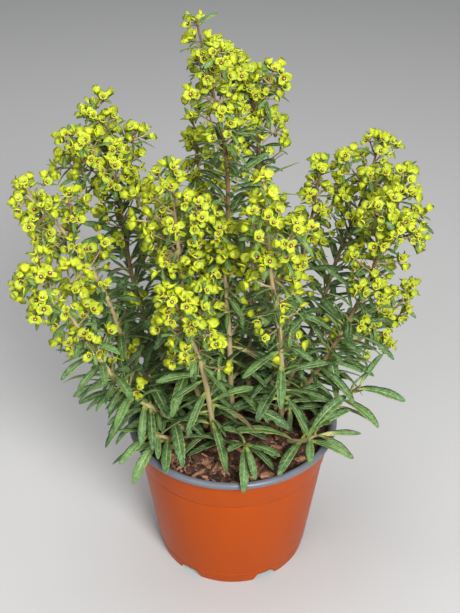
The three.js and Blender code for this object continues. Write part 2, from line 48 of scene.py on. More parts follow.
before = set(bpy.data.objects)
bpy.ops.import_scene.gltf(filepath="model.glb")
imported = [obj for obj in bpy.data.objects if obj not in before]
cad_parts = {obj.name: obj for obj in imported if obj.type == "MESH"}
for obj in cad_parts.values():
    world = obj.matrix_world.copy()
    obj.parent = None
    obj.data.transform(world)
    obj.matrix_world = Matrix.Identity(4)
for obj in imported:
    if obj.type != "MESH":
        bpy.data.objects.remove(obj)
CAD_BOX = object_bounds()
MM = 0.001

# ---------------------------------------------------------------- how the plant grows
# Millimetres, as in the part's own source: the stems' routes and the rule that places each leaf
# and flower spray, so that the finer pieces here stand where the solid ones do.
GAP = 0.3  # running gap between pieces that touch
SOIL_LEVEL = 136
STEM_DEPTH = 13  # how deep a stem stands in the compost
STEM_FOOT_RADIUS = 2.4
STEM_TIP_RADIUS = 1.1
LEAFY_LENGTHS = 4  # straight lengths in the leafy part of a stem
HEAD_LENGTHS = 3  # and in its head
GOLDEN_ANGLE = 137.508  # degrees round the stem from one leaf or spray to the next

LEAF_LENGTH = 56
LEAF_WIDTH_RATIO = 0.215
LEAF_NECK = 0.22  # where along its length the blade begins to widen
LEAF_BELLY = 0.62  # where it is widest
LEAF_NECK_WIDTH = 0.58  # of the full width
LEAF_DROOP = 62  # degrees that the lowest leaf of a stem bends down by
DROOP_LOSS = 28  # how much less the highest one does
LENGTH_LOSS = 0.34  # how much shorter the highest one is, as a share

CUP_RADIUS = 5.8
CUP_LENGTH = 7.8  # from the fork of the spray to the rim of the cup
CUP_SPREAD = math.radians(46)  # between a cup and its pedicel
SHORTEST_PEDICEL = 6
SPRAY_RISE = 28  # degrees above square to the stem at the foot of a head
SPRAY_RISE_GAIN = 50  # how much steeper at its tip
SPRAY_LENGTH_LOSS = 0.6  # how much less the sprays at its tip reach, as a share

POT_HEIGHT = 147
RIM_RADIUS = 95
RIM_DEPTH = 5.5  # height of the rolled rim
WALL_TOP_RADIUS = 89.8
COLLAR_HEIGHT = 113  # where the collar steps out from the wall
COLLAR_STEP = 0.9
FOOT_HEIGHT = 10
FOOT_RADIUS = 69.5
FOOT_RECESS = 0.8
WALL_THICKNESS = 1.5
FLOOR_UNDERSIDE = 3.5
FLOOR_THICKNESS = 2
FOOT_LINE = 13  # height of the fine groove round the foot
RIM_LINE = 136.5  # and of the one under the rim
GROOVE = 0.4  # their depth
COLLAR_GROOVE = 0.9  # depth of the groove under the collar
NOTCH_COUNT = 6  # drainage cut-outs in the foot
NOTCH_TURN = -4  # degrees from the front to the middle between two notches
NOTCH_WIDTH = 22.5
NOTCH_TOP_WIDTH = 14.5
NOTCH_HEIGHT = 8

BEAD_CELL = 10  # size of the cells that beads are looked up by
BLADE_BEAD = 2  # radius of the beads that stand for a blade
BEAD_SPACING = 2.5
ACROSS = (-1, -0.34, 0.34, 1)  # where they lie across it, as a share of its half width
TILTS_TO_TRY = (0, 14, -14)
TURNS_TO_TRY = (0, 20, -20, 40, -40)

# Each use of chance has its own row of random numbers: the stem's number and one of these.
LEAF_ROW = 50
SIDE_SPRAY_ROW = 300
TONE_ROW = 400
DRESS_ROW = 500
BLOOM_ROW = 600
BRACT_ROW = 700
FILL_SPRAY_ROW = 800
BRANCH_ROW = 900
CROWN_ROW = 950

# name, where the flower head begins, its sprays, their reach, leaves, route
FLOWERING_STEMS = (
    ("tall", 0.66, 13, 21, 14,
     ((-2, 2, 136), (-3, 4, 248), (-4, 6, 335), (-5, 8, 396), (-15, 10, 450), (-28, 12, 510))),
    ("second", 0.62, 13, 26, 13,
     ((14, 12, 136), (15, 22, 224), (18, 36, 297), (21, 48, 378), (15, 57, 425), (-6, 60, 460))),
    ("left_upper", 0.6, 14, 31, 13,
     ((-22, 10, 136), (-61, 12, 198), (-83, 22, 261), (-92, 31, 325), (-99, 36, 371),
      (-107, 42, 427))),
    ("far_left", 0.6, 13, 27, 13,
     ((-38, 2, 136), (-70, -8, 180), (-91, -14, 232), (-105, -17, 288), (-133, -19, 347),
      (-166, -20, 388))),
    ("left_lower", 0.6, 11, 23, 12,
     ((-32, -22, 136), (-60, -34, 174), (-88, -46, 208), (-112, -65, 268), (-129, -78, 319),
      (-150, -85, 350))),
    ("back_middle", 0.66, 9, 18, 10,
     ((-8, 24, 136), (-15, 36, 190), (-24, 62, 262), (-29, 84, 334), (-33, 98, 383))),
    ("middle_left", 0.6, 15, 29, 13,
     ((-24, -8, 136), (-36, -26, 232), (-40, -38, 309), (-42, -45, 361), (-44, -48, 408))),
    ("middle", 0.6, 11, 19, 11,
     ((2, -8, 136), (-1, -18, 188), (-3, -34, 262), (-6, -44, 323), (-9, -48, 368))),
    ("front_left", 0.56, 13, 26, 13,
     ((-16, -28, 136), (-18, -42, 179), (-24, -76, 256), (-33, -97, 306), (-44, -108, 346))),
    ("front_right", 0.52, 16, 27, 13,
     ((44, -7, 136), (42, -28, 202), (38, -50, 268), (28, -78, 348), (22, -92, 422))),
    ("right_middle", 0.6, 11, 19, 11,
     ((27, 12, 136), (46, 34, 196), (62, 60, 270), (70, 76, 310), (77, 88, 354))),
    ("right_tall", 0.62, 12, 26, 12,
     ((38, 14, 136), (70, 36, 206), (94, 65, 274), (113, 82, 320), (129, 97, 378))),
    ("right", 0.58, 14, 29, 13,
     ((40, 2, 136), (72, 4, 186), (102, 7, 250), (123, 8, 318), (135, 8, 374))),
    ("far_right", 0.62, 9, 17, 11,
     ((44, 20, 136), (72, 30, 166), (108, 46, 187), (142, 59, 212), (164, 65, 240))),
    ("back_left", 0.6, 10, 23, 11,
     ((-20, 26, 136), (-40, 58, 190), (-56, 86, 248), (-66, 104, 300))),
    ("back_right", 0.6, 10, 22, 11,
     ((14, 34, 136), (24, 64, 188), (34, 90, 252), (42, 106, 306))),
)
# name, leaves, route
LEAFY_SHOOTS = (
    ("left", 11, ((-50, -10, 136), (-78, -4, 160), (-104, -10, 186))),
    ("left_back", 11, ((-44, 18, 136), (-74, 36, 168), (-96, 54, 206))),
    ("front_left", 10, ((-42, -34, 136), (-54, -44, 154), (-70, -58, 172))),
    ("front", 10, ((10, -28, 136), (10, -46, 150), (12, -62, 162))),
    ("front_right", 10, ((50, -26, 136), (62, -44, 152), (72, -54, 168))),
    ("right", 11, ((66, -6, 136), (88, -10, 162), (112, -14, 190))),
    ("right_back", 11, ((42, 34, 136), (68, 52, 166), (88, 66, 202))),
    ("back", 11, ((-4, 44, 136), (-8, 62, 176), (-10, 76, 216))),
)


def plus(a, b, times=1.0):
    return (a[0] + b[0] * times, a[1] + b[1] * times, a[2] + b[2] * times)


def scaled(a, times):
    return (a[0] * times, a[1] * times, a[2] * times)


def between(a, b, part):
    return (a[0] + (b[0] - a[0]) * part, a[1] + (b[1] - a[1]) * part, a[2] + (b[2] - a[2]) * part)


def cross(a, b):
    return (a[1] * b[2] - a[2] * b[1], a[2] * b[0] - a[0] * b[2], a[0] * b[1] - a[1] * b[0])


def unit(a):
    return scaled(a, 1 / math.sqrt(a[0] ** 2 + a[1] ** 2 + a[2] ** 2))


class Row:
    """Repeatable random numbers, one row of them for each seed."""

    START, STEP = 17, 7919
    FACTOR, RANGE = 16807, 2147483647

    def __init__(self, seed):
        self.state = self.STEP * seed + self.START

    def draw(self, low, high):
        self.state = self.state * self.FACTOR % self.RANGE
        return low + (high - low) * self.state / self.RANGE


class Stem:
    """A flowering stem or a leafy shoot: its route, and the leaves and sprays that it carries."""

    def __init__(self, seed, name, route, leaves, head=1.0, sprays=0, reach=0):
        self.seed = seed
        self.name = name
        self.route = route
        self.leaves = leaves
        self.head = head
        self.sprays = sprays
        self.reach = reach
        self.flowering = sprays > 0
        self.leaf_from = 0.1 if self.flowering else 0.2
        self.leaf_to = head - 0.03 if self.flowering else 0.99
        self.leaf_rise = (22, 34) if self.flowering else (20, 60)
        self.line = self.straight_lengths()
        self.leaf_list = []
        self.spray_list = []

    @property
    def node(self):
        return ("stem_" if self.flowering else "leafy_shoot_") + self.name

    def curve_point(self, share):
        """A point on the smooth curve through the route."""
        last = len(self.route) - 1
        span = min(int(share * last), last - 1)
        part = share * last - span
        here, there = self.route[span], self.route[span + 1]
        before = self.route[span - 1] if span > 0 else plus(scaled(here, 2), there, -1)
        after = self.route[span + 2] if span + 2 <= last else plus(scaled(there, 2), here, -1)
        point = []
        for x0, x1, x2, x3 in zip(before, here, there, after):
            leaving, arriving = 0.5 * (x2 - x0), 0.5 * (x3 - x1)
            square = -3 * x1 + 3 * x2 - 2 * leaving - arriving
            cube = 2 * x1 - 2 * x2 + leaving + arriving
            point.append(x1 + leaving * part + square * part ** 2 + cube * part ** 3)
        return tuple(point)

    def straight_lengths(self):
        """(share, point) stops. The first length runs straight down into the compost."""
        shares = even_shares(0, self.head, LEAFY_LENGTHS)[1:]
        if self.head < 1:
            shares += even_shares(self.head, 1, HEAD_LENGTHS)[1:]
        stops = [(share, self.curve_point(share)) for share in shares]
        share, point = stops[0]
        climb = point[2] - self.route[0][2]
        sunk = between(point, self.route[0], 1 + STEM_DEPTH / climb)
        return [(-share * STEM_DEPTH / climb, sunk)] + stops

    def direction(self, i):
        before, after = self.line[max(i - 1, 0)][1], self.line[min(i + 1, len(self.line) - 1)][1]
        return unit(plus(after, before, -1))

    def place(self, share):
        """The point at a share of the route, the way the stem runs, and two ways square to it."""
        i = 1
        while i < len(self.line) - 1 and self.line[i][0] < share:
            i += 1
        (from_share, start), (to_share, end) = self.line[i - 1], self.line[i]
        part = (share - from_share) / (to_share - from_share)
        along = unit(between(self.direction(i - 1), self.direction(i), part))
        across = unit(cross((0, 1, 0), along))
        return between(start, end, part), along, across, cross(along, across)

    def leaving(self, share, azimuth, rise):
        """The way a leaf or spray leaves the stem: rise is in degrees above square to it."""
        azimuth, rise = math.radians(azimuth), math.radians(rise)
        _, along, across, other = self.place(share)
        around = plus(scaled(across, math.cos(azimuth)), other, math.sin(azimuth))
        return plus(scaled(around, math.cos(rise)), along, math.sin(rise))

    def radius(self, share):
        return STEM_FOOT_RADIUS + (STEM_TIP_RADIUS - STEM_FOOT_RADIUS) * max(share, 0)

    def beads(self):
        stops = [point for _, point in self.line]
        length = sum(math.dist(a, b) for a, b in zip(stops, stops[1:]))
        shares = even_shares(0, 1, math.ceil(length / BEAD_SPACING))
        return [(self.place(share)[0], self.radius(share) + 0.6) for share in shares]


def even_shares(start, end, steps):
    return [start + (end - start) * i / steps for i in range(steps + 1)]


class Leaf:
    """A leaf leaves its stem along start, and bends down under its own weight by droop degrees."""

    def __init__(self, root, start, length, droop, width=LEAF_WIDTH_RATIO, youth=0.0, tone=0.5,
                 bead=BLADE_BEAD):
        self.root = root
        self.bead = bead
        self.length = length
        self.half_width = length * width / 2
        self.bend = math.radians(droop)
        self.rise = math.asin(min(max(start[2], -0.98), 0.98))
        self.heading = unit((start[0], start[1], 0))
        self.youth = youth
        self.tone = tone

    def section(self, share, half_width):
        """The two edges of the blade at a share of its length."""
        angle = self.rise - self.bend * share
        out = self.length / self.bend * (math.sin(self.rise) - math.sin(angle))
        up = self.length / self.bend * (math.cos(angle) - math.cos(self.rise))
        point = plus(plus(self.root, self.heading, out), (0, 0, 1), up)
        side = (-self.heading[1], self.heading[0], 0)
        return plus(point, side, half_width), plus(point, side, -half_width)

    def beads(self):
        stops = ((LEAF_NECK, self.half_width * LEAF_NECK_WIDTH), (LEAF_BELLY, self.half_width), (1, 0))
        beads = []
        for (from_share, from_half), (to_share, to_half) in zip(stops, stops[1:]):
            start, end = self.section(from_share, from_half), self.section(to_share, to_half)
            steps = math.ceil(self.length * (to_share - from_share) / BEAD_SPACING)
            for step in range(steps + 1):
                left = between(start[0], end[0], step / steps)
                right = between(start[1], end[1], step / steps)
                beads += [(between(left, right, (across + 1) / 2), self.bead) for across in ACROSS]
        return beads


class Spray:
    """A pedicel that ends in a few cup flowers."""

    def __init__(self, root, start, length, cups, twist, cup_radius=CUP_RADIUS):
        self.root = root
        self.start = start
        self.length = length
        self.cup_radius = cup_radius
        self.fork = plus(root, start, length)
        self.twist = twist
        self.facings = [self.facing(i * 360 / cups, CUP_SPREAD) for i in range(cups)]

    def facing(self, turn, spread):
        """A direction at an angle from the pedicel, at a turn round it."""
        aside = unit(cross((0, 0, 1), self.start))
        over = cross(self.start, aside)
        turn = math.radians(self.twist + turn)
        away = plus(scaled(aside, math.cos(turn)), over, math.sin(turn))
        return plus(scaled(self.start, math.cos(spread)), away, math.sin(spread))

    def beads(self):
        beads = []
        along = 3.5
        while along < self.length:
            beads.append((plus(self.root, self.start, along), 1))
            along += 2
        cups = [plus(self.fork, facing, CUP_LENGTH - 1) for facing in self.facings]
        return beads + [(cup, self.cup_radius) for cup in cups]


class Room:
    """The room that is left. Each piece is stood for by beads, and two pieces are clear of each
    other when none of their beads meet."""

    def __init__(self):
        self.cells = {}
        self.bounds = None

    @staticmethod
    def cell(point):
        return tuple(math.floor(place / BEAD_CELL) for place in point)

    def fill(self, beads, owner):
        for point, radius in beads:
            self.cells.setdefault(self.cell(point), []).append((point, radius, owner))

    def is_clear(self, beads, own_stem):
        return all(clear_of_pot(*bead) and self.within(*bead) and not self.meets(*bead, own_stem)
                   for bead in beads)

    def within(self, point, radius):
        if not self.bounds:
            return True
        return all(low + radius <= place <= high - radius for place, low, high in zip(point, *self.bounds))

    def meets(self, point, radius, own_stem):
        i, j, k = self.cell(point)
        x, y, z = point
        steps = (-1, 0, 1)
        for near_cell in ((i + a, j + b, k + c) for a in steps for b in steps for c in steps):
            for other, other_radius, owner in self.cells.get(near_cell, ()):
                reach = radius + other_radius + GAP
                if (x - other[0]) ** 2 + (y - other[1]) ** 2 + (z - other[2]) ** 2 < reach * reach:
                    if owner != own_stem:
                        return True
        return False

    def grow(self, build, stem, lengths):
        """Tries a piece as it would grow, then turned, tilted and shortened, until it is clear."""
        for shorter in lengths:
            for tilt in TILTS_TO_TRY:
                for turn in TURNS_TO_TRY:
                    piece = build(turn, tilt, shorter)
                    beads = piece.beads()
                    if self.is_clear(beads, stem.node):
                        self.fill(beads, None)
                        return piece
        return None


def wall_radius(height):
    slope = (WALL_TOP_RADIUS - COLLAR_STEP - FOOT_RADIUS - FOOT_RECESS) / (POT_HEIGHT - RIM_DEPTH)
    return FOOT_RADIUS + FOOT_RECESS + slope * height


def inner_radius(height):
    return wall_radius(height) - WALL_THICKNESS


def clear_of_pot(point, radius):
    out = math.hypot(point[0], point[1])
    if out < inner_radius(SOIL_LEVEL) - 3:
        return point[2] > SOIL_LEVEL + 4 + radius
    if out < RIM_RADIUS + radius + 1:
        return point[2] > POT_HEIGHT + radius + 0.6
    return point[2] > POT_HEIGHT - 26


def grow_spray(build, stem, room, lengths):
    """One spray on a stem, if there is room for it."""
    spray = room.grow(build, stem, lengths)
    if spray:
        stem.spray_list.append(spray)
    return spray


def grow_head(stem, room):
    """The sprays of one flower head, from its foot to its tip."""
    row = Row(stem.seed)
    phase = row.draw(0, 360)
    for i in range(stem.sprays):
        up = i / (stem.sprays - 1)
        share = stem.head + 0.015 + (1 - stem.head - 0.02) * up
        azimuth = phase + GOLDEN_ANGLE * i + row.draw(-12, 12)
        rise = SPRAY_RISE + SPRAY_RISE_GAIN * up * up + row.draw(-8, 8)
        reach = stem.reach * (1 - SPRAY_LENGTH_LOSS * up * up) - CUP_LENGTH + 3
        length = max(SHORTEST_PEDICEL, reach + row.draw(-4, 3))
        cups = math.floor(row.draw(2.2, 4.1) + 0.5)
        twist = row.draw(0, 360)

        def build(turn, tilt, shorter):
            start = stem.leaving(share, azimuth + turn, min(rise + tilt, 88))
            return Spray(stem.place(share)[0], start, length * shorter, cups, twist)

        grow_spray(build, stem, room, (1, 0.8, 1.2, 0.6))


def grow_leaves(stem, room):
    """The leaves of one stem, from the compost up to its flower head or its tip."""
    row = Row(stem.seed + LEAF_ROW)
    phase = row.draw(0, 360)
    for i in range(stem.leaves):
        up = i / (stem.leaves - 1)
        share = stem.leaf_from + (stem.leaf_to - stem.leaf_from) * up
        azimuth = phase + GOLDEN_ANGLE * i + row.draw(-14, 14)
        rise = stem.leaf_rise[0] + (stem.leaf_rise[1] - stem.leaf_rise[0]) * up + row.draw(-8, 8)
        droop = LEAF_DROOP - DROOP_LOSS * up + row.draw(-10, 14)
        length = LEAF_LENGTH * (1.06 - LENGTH_LOSS * up) * row.draw(0.86, 1.12)

        def build(turn, tilt, shorter):
            start = stem.leaving(share, azimuth + turn, min(rise + tilt, 80))
            return Leaf(stem.place(share)[0], start, length * shorter, droop)

        leaf = room.grow(build, stem, (1, 0.85, 0.7))
        if leaf:
            stem.leaf_list.append(leaf)


def grow_plant():
    stems = []
    for name, head, sprays, reach, leaves, route in FLOWERING_STEMS:
        stems.append(Stem(len(stems) + 1, name, route, leaves, head, sprays, reach))
    for name, leaves, route in LEAFY_SHOOTS:
        stems.append(Stem(len(stems) + 1, name, route, leaves))
    room = Room()
    for stem in stems:
        room.fill(stem.beads(), stem.node)
    for stem in stems:
        if stem.flowering:
            grow_head(stem, room)
    for stem in stems:
        grow_leaves(stem, room)
    return stems, room


# ---------------------------------------------------------------- writing node trees
class Value:
    """A value that flows through a node tree, with the usual arithmetic."""

    def __init__(self, nodes, socket):
        self.nodes = nodes
        self.socket = socket

    @property
    def is_vector(self):
        return self.socket.type == "VECTOR"

    def __add__(self, other):
        return self.nodes.maths("ADD", self, other)

    def __sub__(self, other):
        return self.nodes.maths("SUBTRACT", self, other)

    def __rsub__(self, other):
        return self.nodes.maths("SUBTRACT", other, self)

    def __mul__(self, other):
        return self.nodes.maths("MULTIPLY", self, other)

    def __truediv__(self, other):
        return self.nodes.maths("DIVIDE", self, other)

    def __pow__(self, power):
        return self.nodes.maths("POWER", self, power)


class Nodes:
    """Writes a node tree, one node a call."""

    def __init__(self, tree):
        self.tree = tree

    def add(self, kind, inputs=None, **settings):
        node = self.tree.nodes.new(kind)
        for setting, value in settings.items():
            setattr(node, setting, value)
        for name, value in (inputs or {}).items():
            self.feed(self.socket(node.inputs, name), value)
        return node

    def out(self, kind, inputs=None, output=0, **settings):
        node = self.add(kind, inputs, **settings)
        return Value(self, self.socket(node.outputs, output))

    @staticmethod
    def socket(sockets, name):
        if isinstance(name, int):
            return sockets[name]
        return next(socket for socket in sockets if socket.name == name and socket.enabled)

    def feed(self, socket, value):
        if isinstance(value, Value):
            self.tree.links.new(value.socket, socket)
        else:
            socket.default_value = value

    def maths(self, operation, *values):
        vectors = [value.is_vector if isinstance(value, Value) else isinstance(value, tuple)
                   for value in values]
        if operation == "MULTIPLY" and sum(vectors) == 1:
            vector, number = values if vectors[0] else reversed(values)
            return self.out("ShaderNodeVectorMath", {0: vector, "Scale": number}, operation="SCALE")
        kind = "ShaderNodeVectorMath" if any(vectors) else "ShaderNodeMath"
        return self.out(kind, dict(enumerate(values)), operation=operation)

    def clamped(self, value):
        """The value, kept between 0 and 1."""
        return self.maths("MINIMUM", self.maths("MAXIMUM", value, 0.0), 1.0)

    def ramp(self, value, low, high):
        """Rises smoothly from 0 to 1 as the value goes from low to high."""
        inputs = {"Value": value, "From Min": low, "From Max": high}
        return self.out("ShaderNodeMapRange", inputs, interpolation_type="SMOOTHSTEP", output="Result")


class GeometryNodes(Nodes):
    """A Geometry Nodes tree with named inputs."""

    def __init__(self, name, **inputs):
        super().__init__(bpy.data.node_groups.new(name, "GeometryNodeTree"))
        face = self.tree.interface
        face.new_socket("Geometry", in_out="INPUT", socket_type="NodeSocketGeometry")
        for label, (kind, description) in inputs.items():
            socket = face.new_socket(label, in_out="INPUT", socket_type="NodeSocket" + kind)
            socket.description = description
        face.new_socket("Geometry", in_out="OUTPUT", socket_type="NodeSocketGeometry")
        self.entry = self.add("NodeGroupInput")

    def given(self, label):
        return Value(self, self.entry.outputs[label])

    def attribute(self, name, kind="FLOAT"):
        return self.out("GeometryNodeInputNamedAttribute", {"Name": name}, "Attribute", data_type=kind)

    def shape_of(self, label):
        return self.out("GeometryNodeObjectInfo", {"Object": self.given(label)}, "Geometry")

    def realized(self, points, instance, **inputs):
        given = {"Points": points, "Instance": instance, **inputs}
        instances = self.out("GeometryNodeInstanceOnPoints", given)
        return self.out("GeometryNodeRealizeInstances", {"Geometry": instances})

    def finish(self, geometry, smooth=True):
        if smooth:
            geometry = self.out("GeometryNodeSetShadeSmooth", {"Geometry": geometry})
        inputs = {"Geometry": geometry, "Material": self.given("Material")}
        geometry = self.out("GeometryNodeSetMaterial", inputs)
        self.add("NodeGroupOutput", {"Geometry": geometry})
        return self.tree


# ---------------------------------------------------------------- meshes
def new_object(name, mesh):
    piece = bpy.data.objects.new(name, mesh)
    bpy.context.scene.collection.objects.link(piece)
    return piece


def write_values(mesh, **values):
    """Keeps named values on a mesh's points, one to a point."""
    for name, column in values.items():
        if isinstance(column[0], (int, float)):
            layer = mesh.attributes.new(name, "FLOAT", "POINT")
            layer.data.foreach_set("value", column)
        else:
            layer = mesh.attributes.new(name, "FLOAT_VECTOR", "POINT")
            layer.data.foreach_set("vector", [part for vector in column for part in vector])


def point_cloud(name, places, **values):
    mesh = bpy.data.meshes.new(name)
    mesh.from_pydata(places, [], [])
    write_values(mesh, **values)
    return mesh


def chains(name, stalks):
    """A mesh of open chains of edges, each point with the radius and the tone of the stalk there."""
    points, edges, radii, tones = [], [], [], []
    for stalk in stalks:
        start = len(points)
        points += in_metres(stalk.points)
        radii += [radius * MM for radius in stalk.radii]
        tones += stalk.tones
        edges += [(start + i, start + i + 1) for i in range(len(stalk.points) - 1)]
    mesh = bpy.data.meshes.new(name)
    mesh.from_pydata(points, edges, [])
    write_values(mesh, radius=radii, tone=tones)
    return mesh


def grown(name, base, tree, **inputs):
    """The plain mesh that a node tree makes of a base mesh, as a new object."""
    seedling = new_object(name + "_base", base)
    modifier = seedling.modifiers.new("Growth", "NODES")
    modifier.node_group = tree
    sockets = {item.name: item.identifier for item in tree.interface.items_tree if item.in_out == "INPUT"}
    for label, value in inputs.items():
        modifier[sockets[label]] = value
    depsgraph = bpy.context.evaluated_depsgraph_get()
    mesh = bpy.data.meshes.new_from_object(
        seedling.evaluated_get(depsgraph), preserve_all_data_layers=True, depsgraph=depsgraph)
    bpy.data.objects.remove(seedling)
    bpy.data.meshes.remove(base)
    mesh.name = name
    return new_object(name, mesh)


def joined(pieces):
    """Several objects made into one."""
    first = pieces[0]
    if len(pieces) > 1:
        with bpy.context.temp_override(active_object=first, selected_editable_objects=pieces):
            bpy.ops.object.join()
    return first


def in_metres(points):
    return [scaled(point, MM) for point in points]


def template(name, bm, **values):
    """A shape to be repeated. It is taken out of the scene once every piece is grown."""
    mesh = bpy.data.meshes.new(name)
    bm.to_mesh(mesh)
    bm.free()
    write_values(mesh, **values)
    shape = new_object(name, mesh)
    shape.hide_render = True
    return shape


# ---------------------------------------------------------------- settings
def a_number(name, description, default, **more):
    return bpy.props.FloatProperty(name=name, description=description, default=default, **more)


def a_length(name, description, default):
    return a_number(name, description, default, unit="LENGTH")


def an_angle(name, description, degrees):
    return a_number(name, description, math.radians(degrees), subtype="ANGLE")


def a_triple(name, description, subtype, default):
    return bpy.props.FloatVectorProperty(
        name=name, description=description, subtype=subtype, size=3, default=default)


def a_colour(name, description, *default):
    return a_triple(name, description, "COLOR", default)


class PotSettings(bpy.types.PropertyGroup):
    """Sizes and colours of the pot."""

    sides: bpy.props.IntProperty(
        name="Sides", description="Faces round the pot's wall", default=144, min=36)
    wall_colour: a_colour("Wall colour", "Moulded plastic outside the pot", 0.375, 0.058, 0.004)
    rim_colour: a_colour("Rim colour", "Plastic of the rolled rim and of the inside", 0.13, 0.138, 0.165)


class CompostSettings(bpy.types.PropertyGroup):
    """Sizes and colours of the bark compost."""

    chip_length: a_length("Chip length", "Length of an ordinary bark chip", 0.0095)
    chip_density: a_number("Chip density", "Bark chips on each square metre", 30000)
    bark_colour: a_colour("Bark colour", "Moist bark", 0.092, 0.034, 0.017)
    pale_bark_colour: a_colour("Pale bark colour", "The dry inner side of bark", 0.58, 0.29, 0.155)
    # Nearly black: the fine compost's own dark colour, and also painted shade in the gaps between the
    # chips.
    soil_and_gap_shade_colour: a_colour("Soil colour", "Fine dark compost between the chips", 0.010, 0.005, 0.0035)


class FoliageSettings(bpy.types.PropertyGroup):
    """Shape and colours of stems and leaves."""

    widest_at: a_number("Widest at", "Where a leaf is widest, as a share of its length", 0.64)
    petiole: a_number("Petiole", "Half width of a leaf at its root, as a share of its widest", 0.13)
    groove: a_number(
        "Groove", "How far the midrib lies below the blade, as a share of its half width", 0.34)
    waves: a_number(
        "Waves", "Height of the waves along a leaf's edge, as a share of its half width", 0.06)
    thickness: a_length("Thickness", "Thickness of a blade at its midrib", 0.0009)
    # Lit and shaded copies of the leaf green: the dark one is painted shade for leaves deep in the plant,
    # the light one is painted light.
    painted_shade_leaf_green: a_colour("Dark green", "Old leaves, deep in the plant", 0.022, 0.060, 0.018)
    painted_light_leaf_green: a_colour("Light green", "Leaves in the light", 0.155, 0.305, 0.10)
    young_colour: a_colour("Young green", "Small leaves among the flowers", 0.15, 0.28, 0.055)
    # Partly the leaves' own grey wax bloom, partly a painted sheen of the sky, laid more on leaves with
    # more painted light.
    wax_and_sheen_colour: a_colour("Wax", "Thin grey bloom on the upper side of leaves", 0.27, 0.36, 0.22)
    rib_colour: a_colour("Midrib", "Midribs, margins and petioles", 0.42, 0.50, 0.15)
    petiole_colour: a_colour("Petiole colour", "The narrow foot of each leaf", 0.44, 0.56, 0.09)
    faded_colour: a_colour("Faded leaf", "The base of a few old leaves", 0.66, 0.60, 0.24)
    dry_colour: a_colour("Dry leaf", "Dry patches on a few leaves", 0.20, 0.12, 0.06)
    bark_colour: a_colour("Stem bark", "Woody stems", 0.50, 0.38, 0.20)
    shoot_colour: a_colour("Reddish stem", "Stems and pedicels among the flowers", 0.13, 0.052, 0.03)


class FlowerSettings(bpy.types.PropertyGroup):
    """Shape and colours of the flowers."""

    lobe_length: a_length("Lobe length", "From the flower's middle to the point of a bract", 0.0077)
    lobe_radius: a_length("Lobe radius", "Half width of a bract", 0.0041)
    waist: a_length("Waist", "Half width where the two bracts join", 0.0019)
    bract_rise: an_angle("Bract rise", "How steeply the bracts rise from the crease between them", 36)
    curl: a_length("Curl", "How far the sides of a bract turn up", 0.0015)
    bract_colour: a_colour("Bract colour", "Open bracts", 0.48, 0.545, 0.016)
    # Young bracts take this green at random; it is also painted shade, turning the inside of the cup olive
    # towards its middle.
    young_and_shaded_bract_colour: a_colour("Bract shade", "Young bracts and their backs", 0.27, 0.37, 0.022)
    gland_colour: a_colour("Gland colour", "The ring of glands in the middle", 0.15, 0.034, 0.014)
    anther_colour: a_colour("Anther colour", "The pale middle of the flower", 0.66, 0.54, 0.30)


class StageSettings(bpy.types.PropertyGroup):
    """Camera, floor and light."""

    camera_place: a_triple("Camera", "Where the camera stands", "TRANSLATION", (0.0, -0.703, 0.733))
    camera_pitch: an_angle("Pitch", "How far the camera looks down", 33.75)
    camera_yaw: an_angle("Yaw", "How far the camera turns to the left", 0.18)
    lens: a_number("Lens", "Focal length in millimetres, for a picture 36 mm high", 58.7)
    floor_colour: a_colour("Floor colour", "Plain pale floor", 0.46, 0.455, 0.45)


# ---------------------------------------------------------------- materials
def new_material(name):
    """An empty material, and the writer of its node tree."""
    material = bpy.data.materials.new(name)
    material.use_nodes = True
    material.node_tree.nodes.clear()
    return material, Nodes(material.node_tree)


def surface(nodes, colour, bump=None, distance=0.0, **sockets):
    """The shader itself. Roughness and the like may be numbers or values."""
    inputs = {"Base Color": colour, **{name.replace("_", " "): value for name, value in sockets.items()}}
    shader = nodes.add("ShaderNodeBsdfPrincipled", inputs)
    if bump:
        normal = nodes.out("ShaderNodeBump", {"Height": bump, "Distance": distance}, "Normal")
        nodes.feed(shader.inputs["Normal"], normal)
    nodes.add("ShaderNodeOutputMaterial", {"Surface": Value(nodes, shader.outputs["BSDF"])})


def object_place(nodes):
    return nodes.out("ShaderNodeTexCoord", output="Object")


def noise(nodes, scale, detail, stretch=None, roughness=0.5):
    place = object_place(nodes)
    if stretch:
        place = nodes.out("ShaderNodeMapping", {"Vector": place, "Scale": stretch}, "Vector")
    inputs = {"Vector": place, "Scale": scale, "Detail": detail, "Roughness": roughness}
    return nodes.out("ShaderNodeTexNoise", inputs, "Fac")


def mix(nodes, part, first, second):
    def tone(colour):
        return colour if isinstance(colour, Value) else (*colour, 1.0)

    node = nodes.add("ShaderNodeMix", data_type="RGBA")
    nodes.feed(nodes.socket(node.inputs, "Factor"), part)
    nodes.feed(nodes.socket(node.inputs, "A"), tone(first))
    nodes.feed(nodes.socket(node.inputs, "B"), tone(second))
    return Value(nodes, nodes.socket(node.outputs, "Result"))


def kept(nodes, name):
    """A value kept on the mesh's points."""
    return nodes.out("ShaderNodeAttribute", output="Fac", attribute_name=name)


def plastic(name, colour, roughness, shine):
    """Moulded plastic: faint scuffs, dust that has dried in runs, and a fine orange-peel texture."""
    material, nodes = new_material(name)
    runs = noise(nodes, 26, 4, stretch=(1.0, 1.0, 0.25))
    scuffs = noise(nodes, 240, 3)
    dusty = tuple(channel * 0.88 + 0.006 for channel in colour)
    base = mix(nodes, nodes.ramp(runs, 0.46, 0.74) * 0.5, colour, dusty)
    rough = nodes.clamped(scuffs * 0.12 + nodes.ramp(runs, 0.4, 0.8) * 0.1 + (roughness - 0.1))
    surface(nodes, base, scuffs, 0.00003, Roughness=rough, Specular_IOR_Level=shine)
    return material


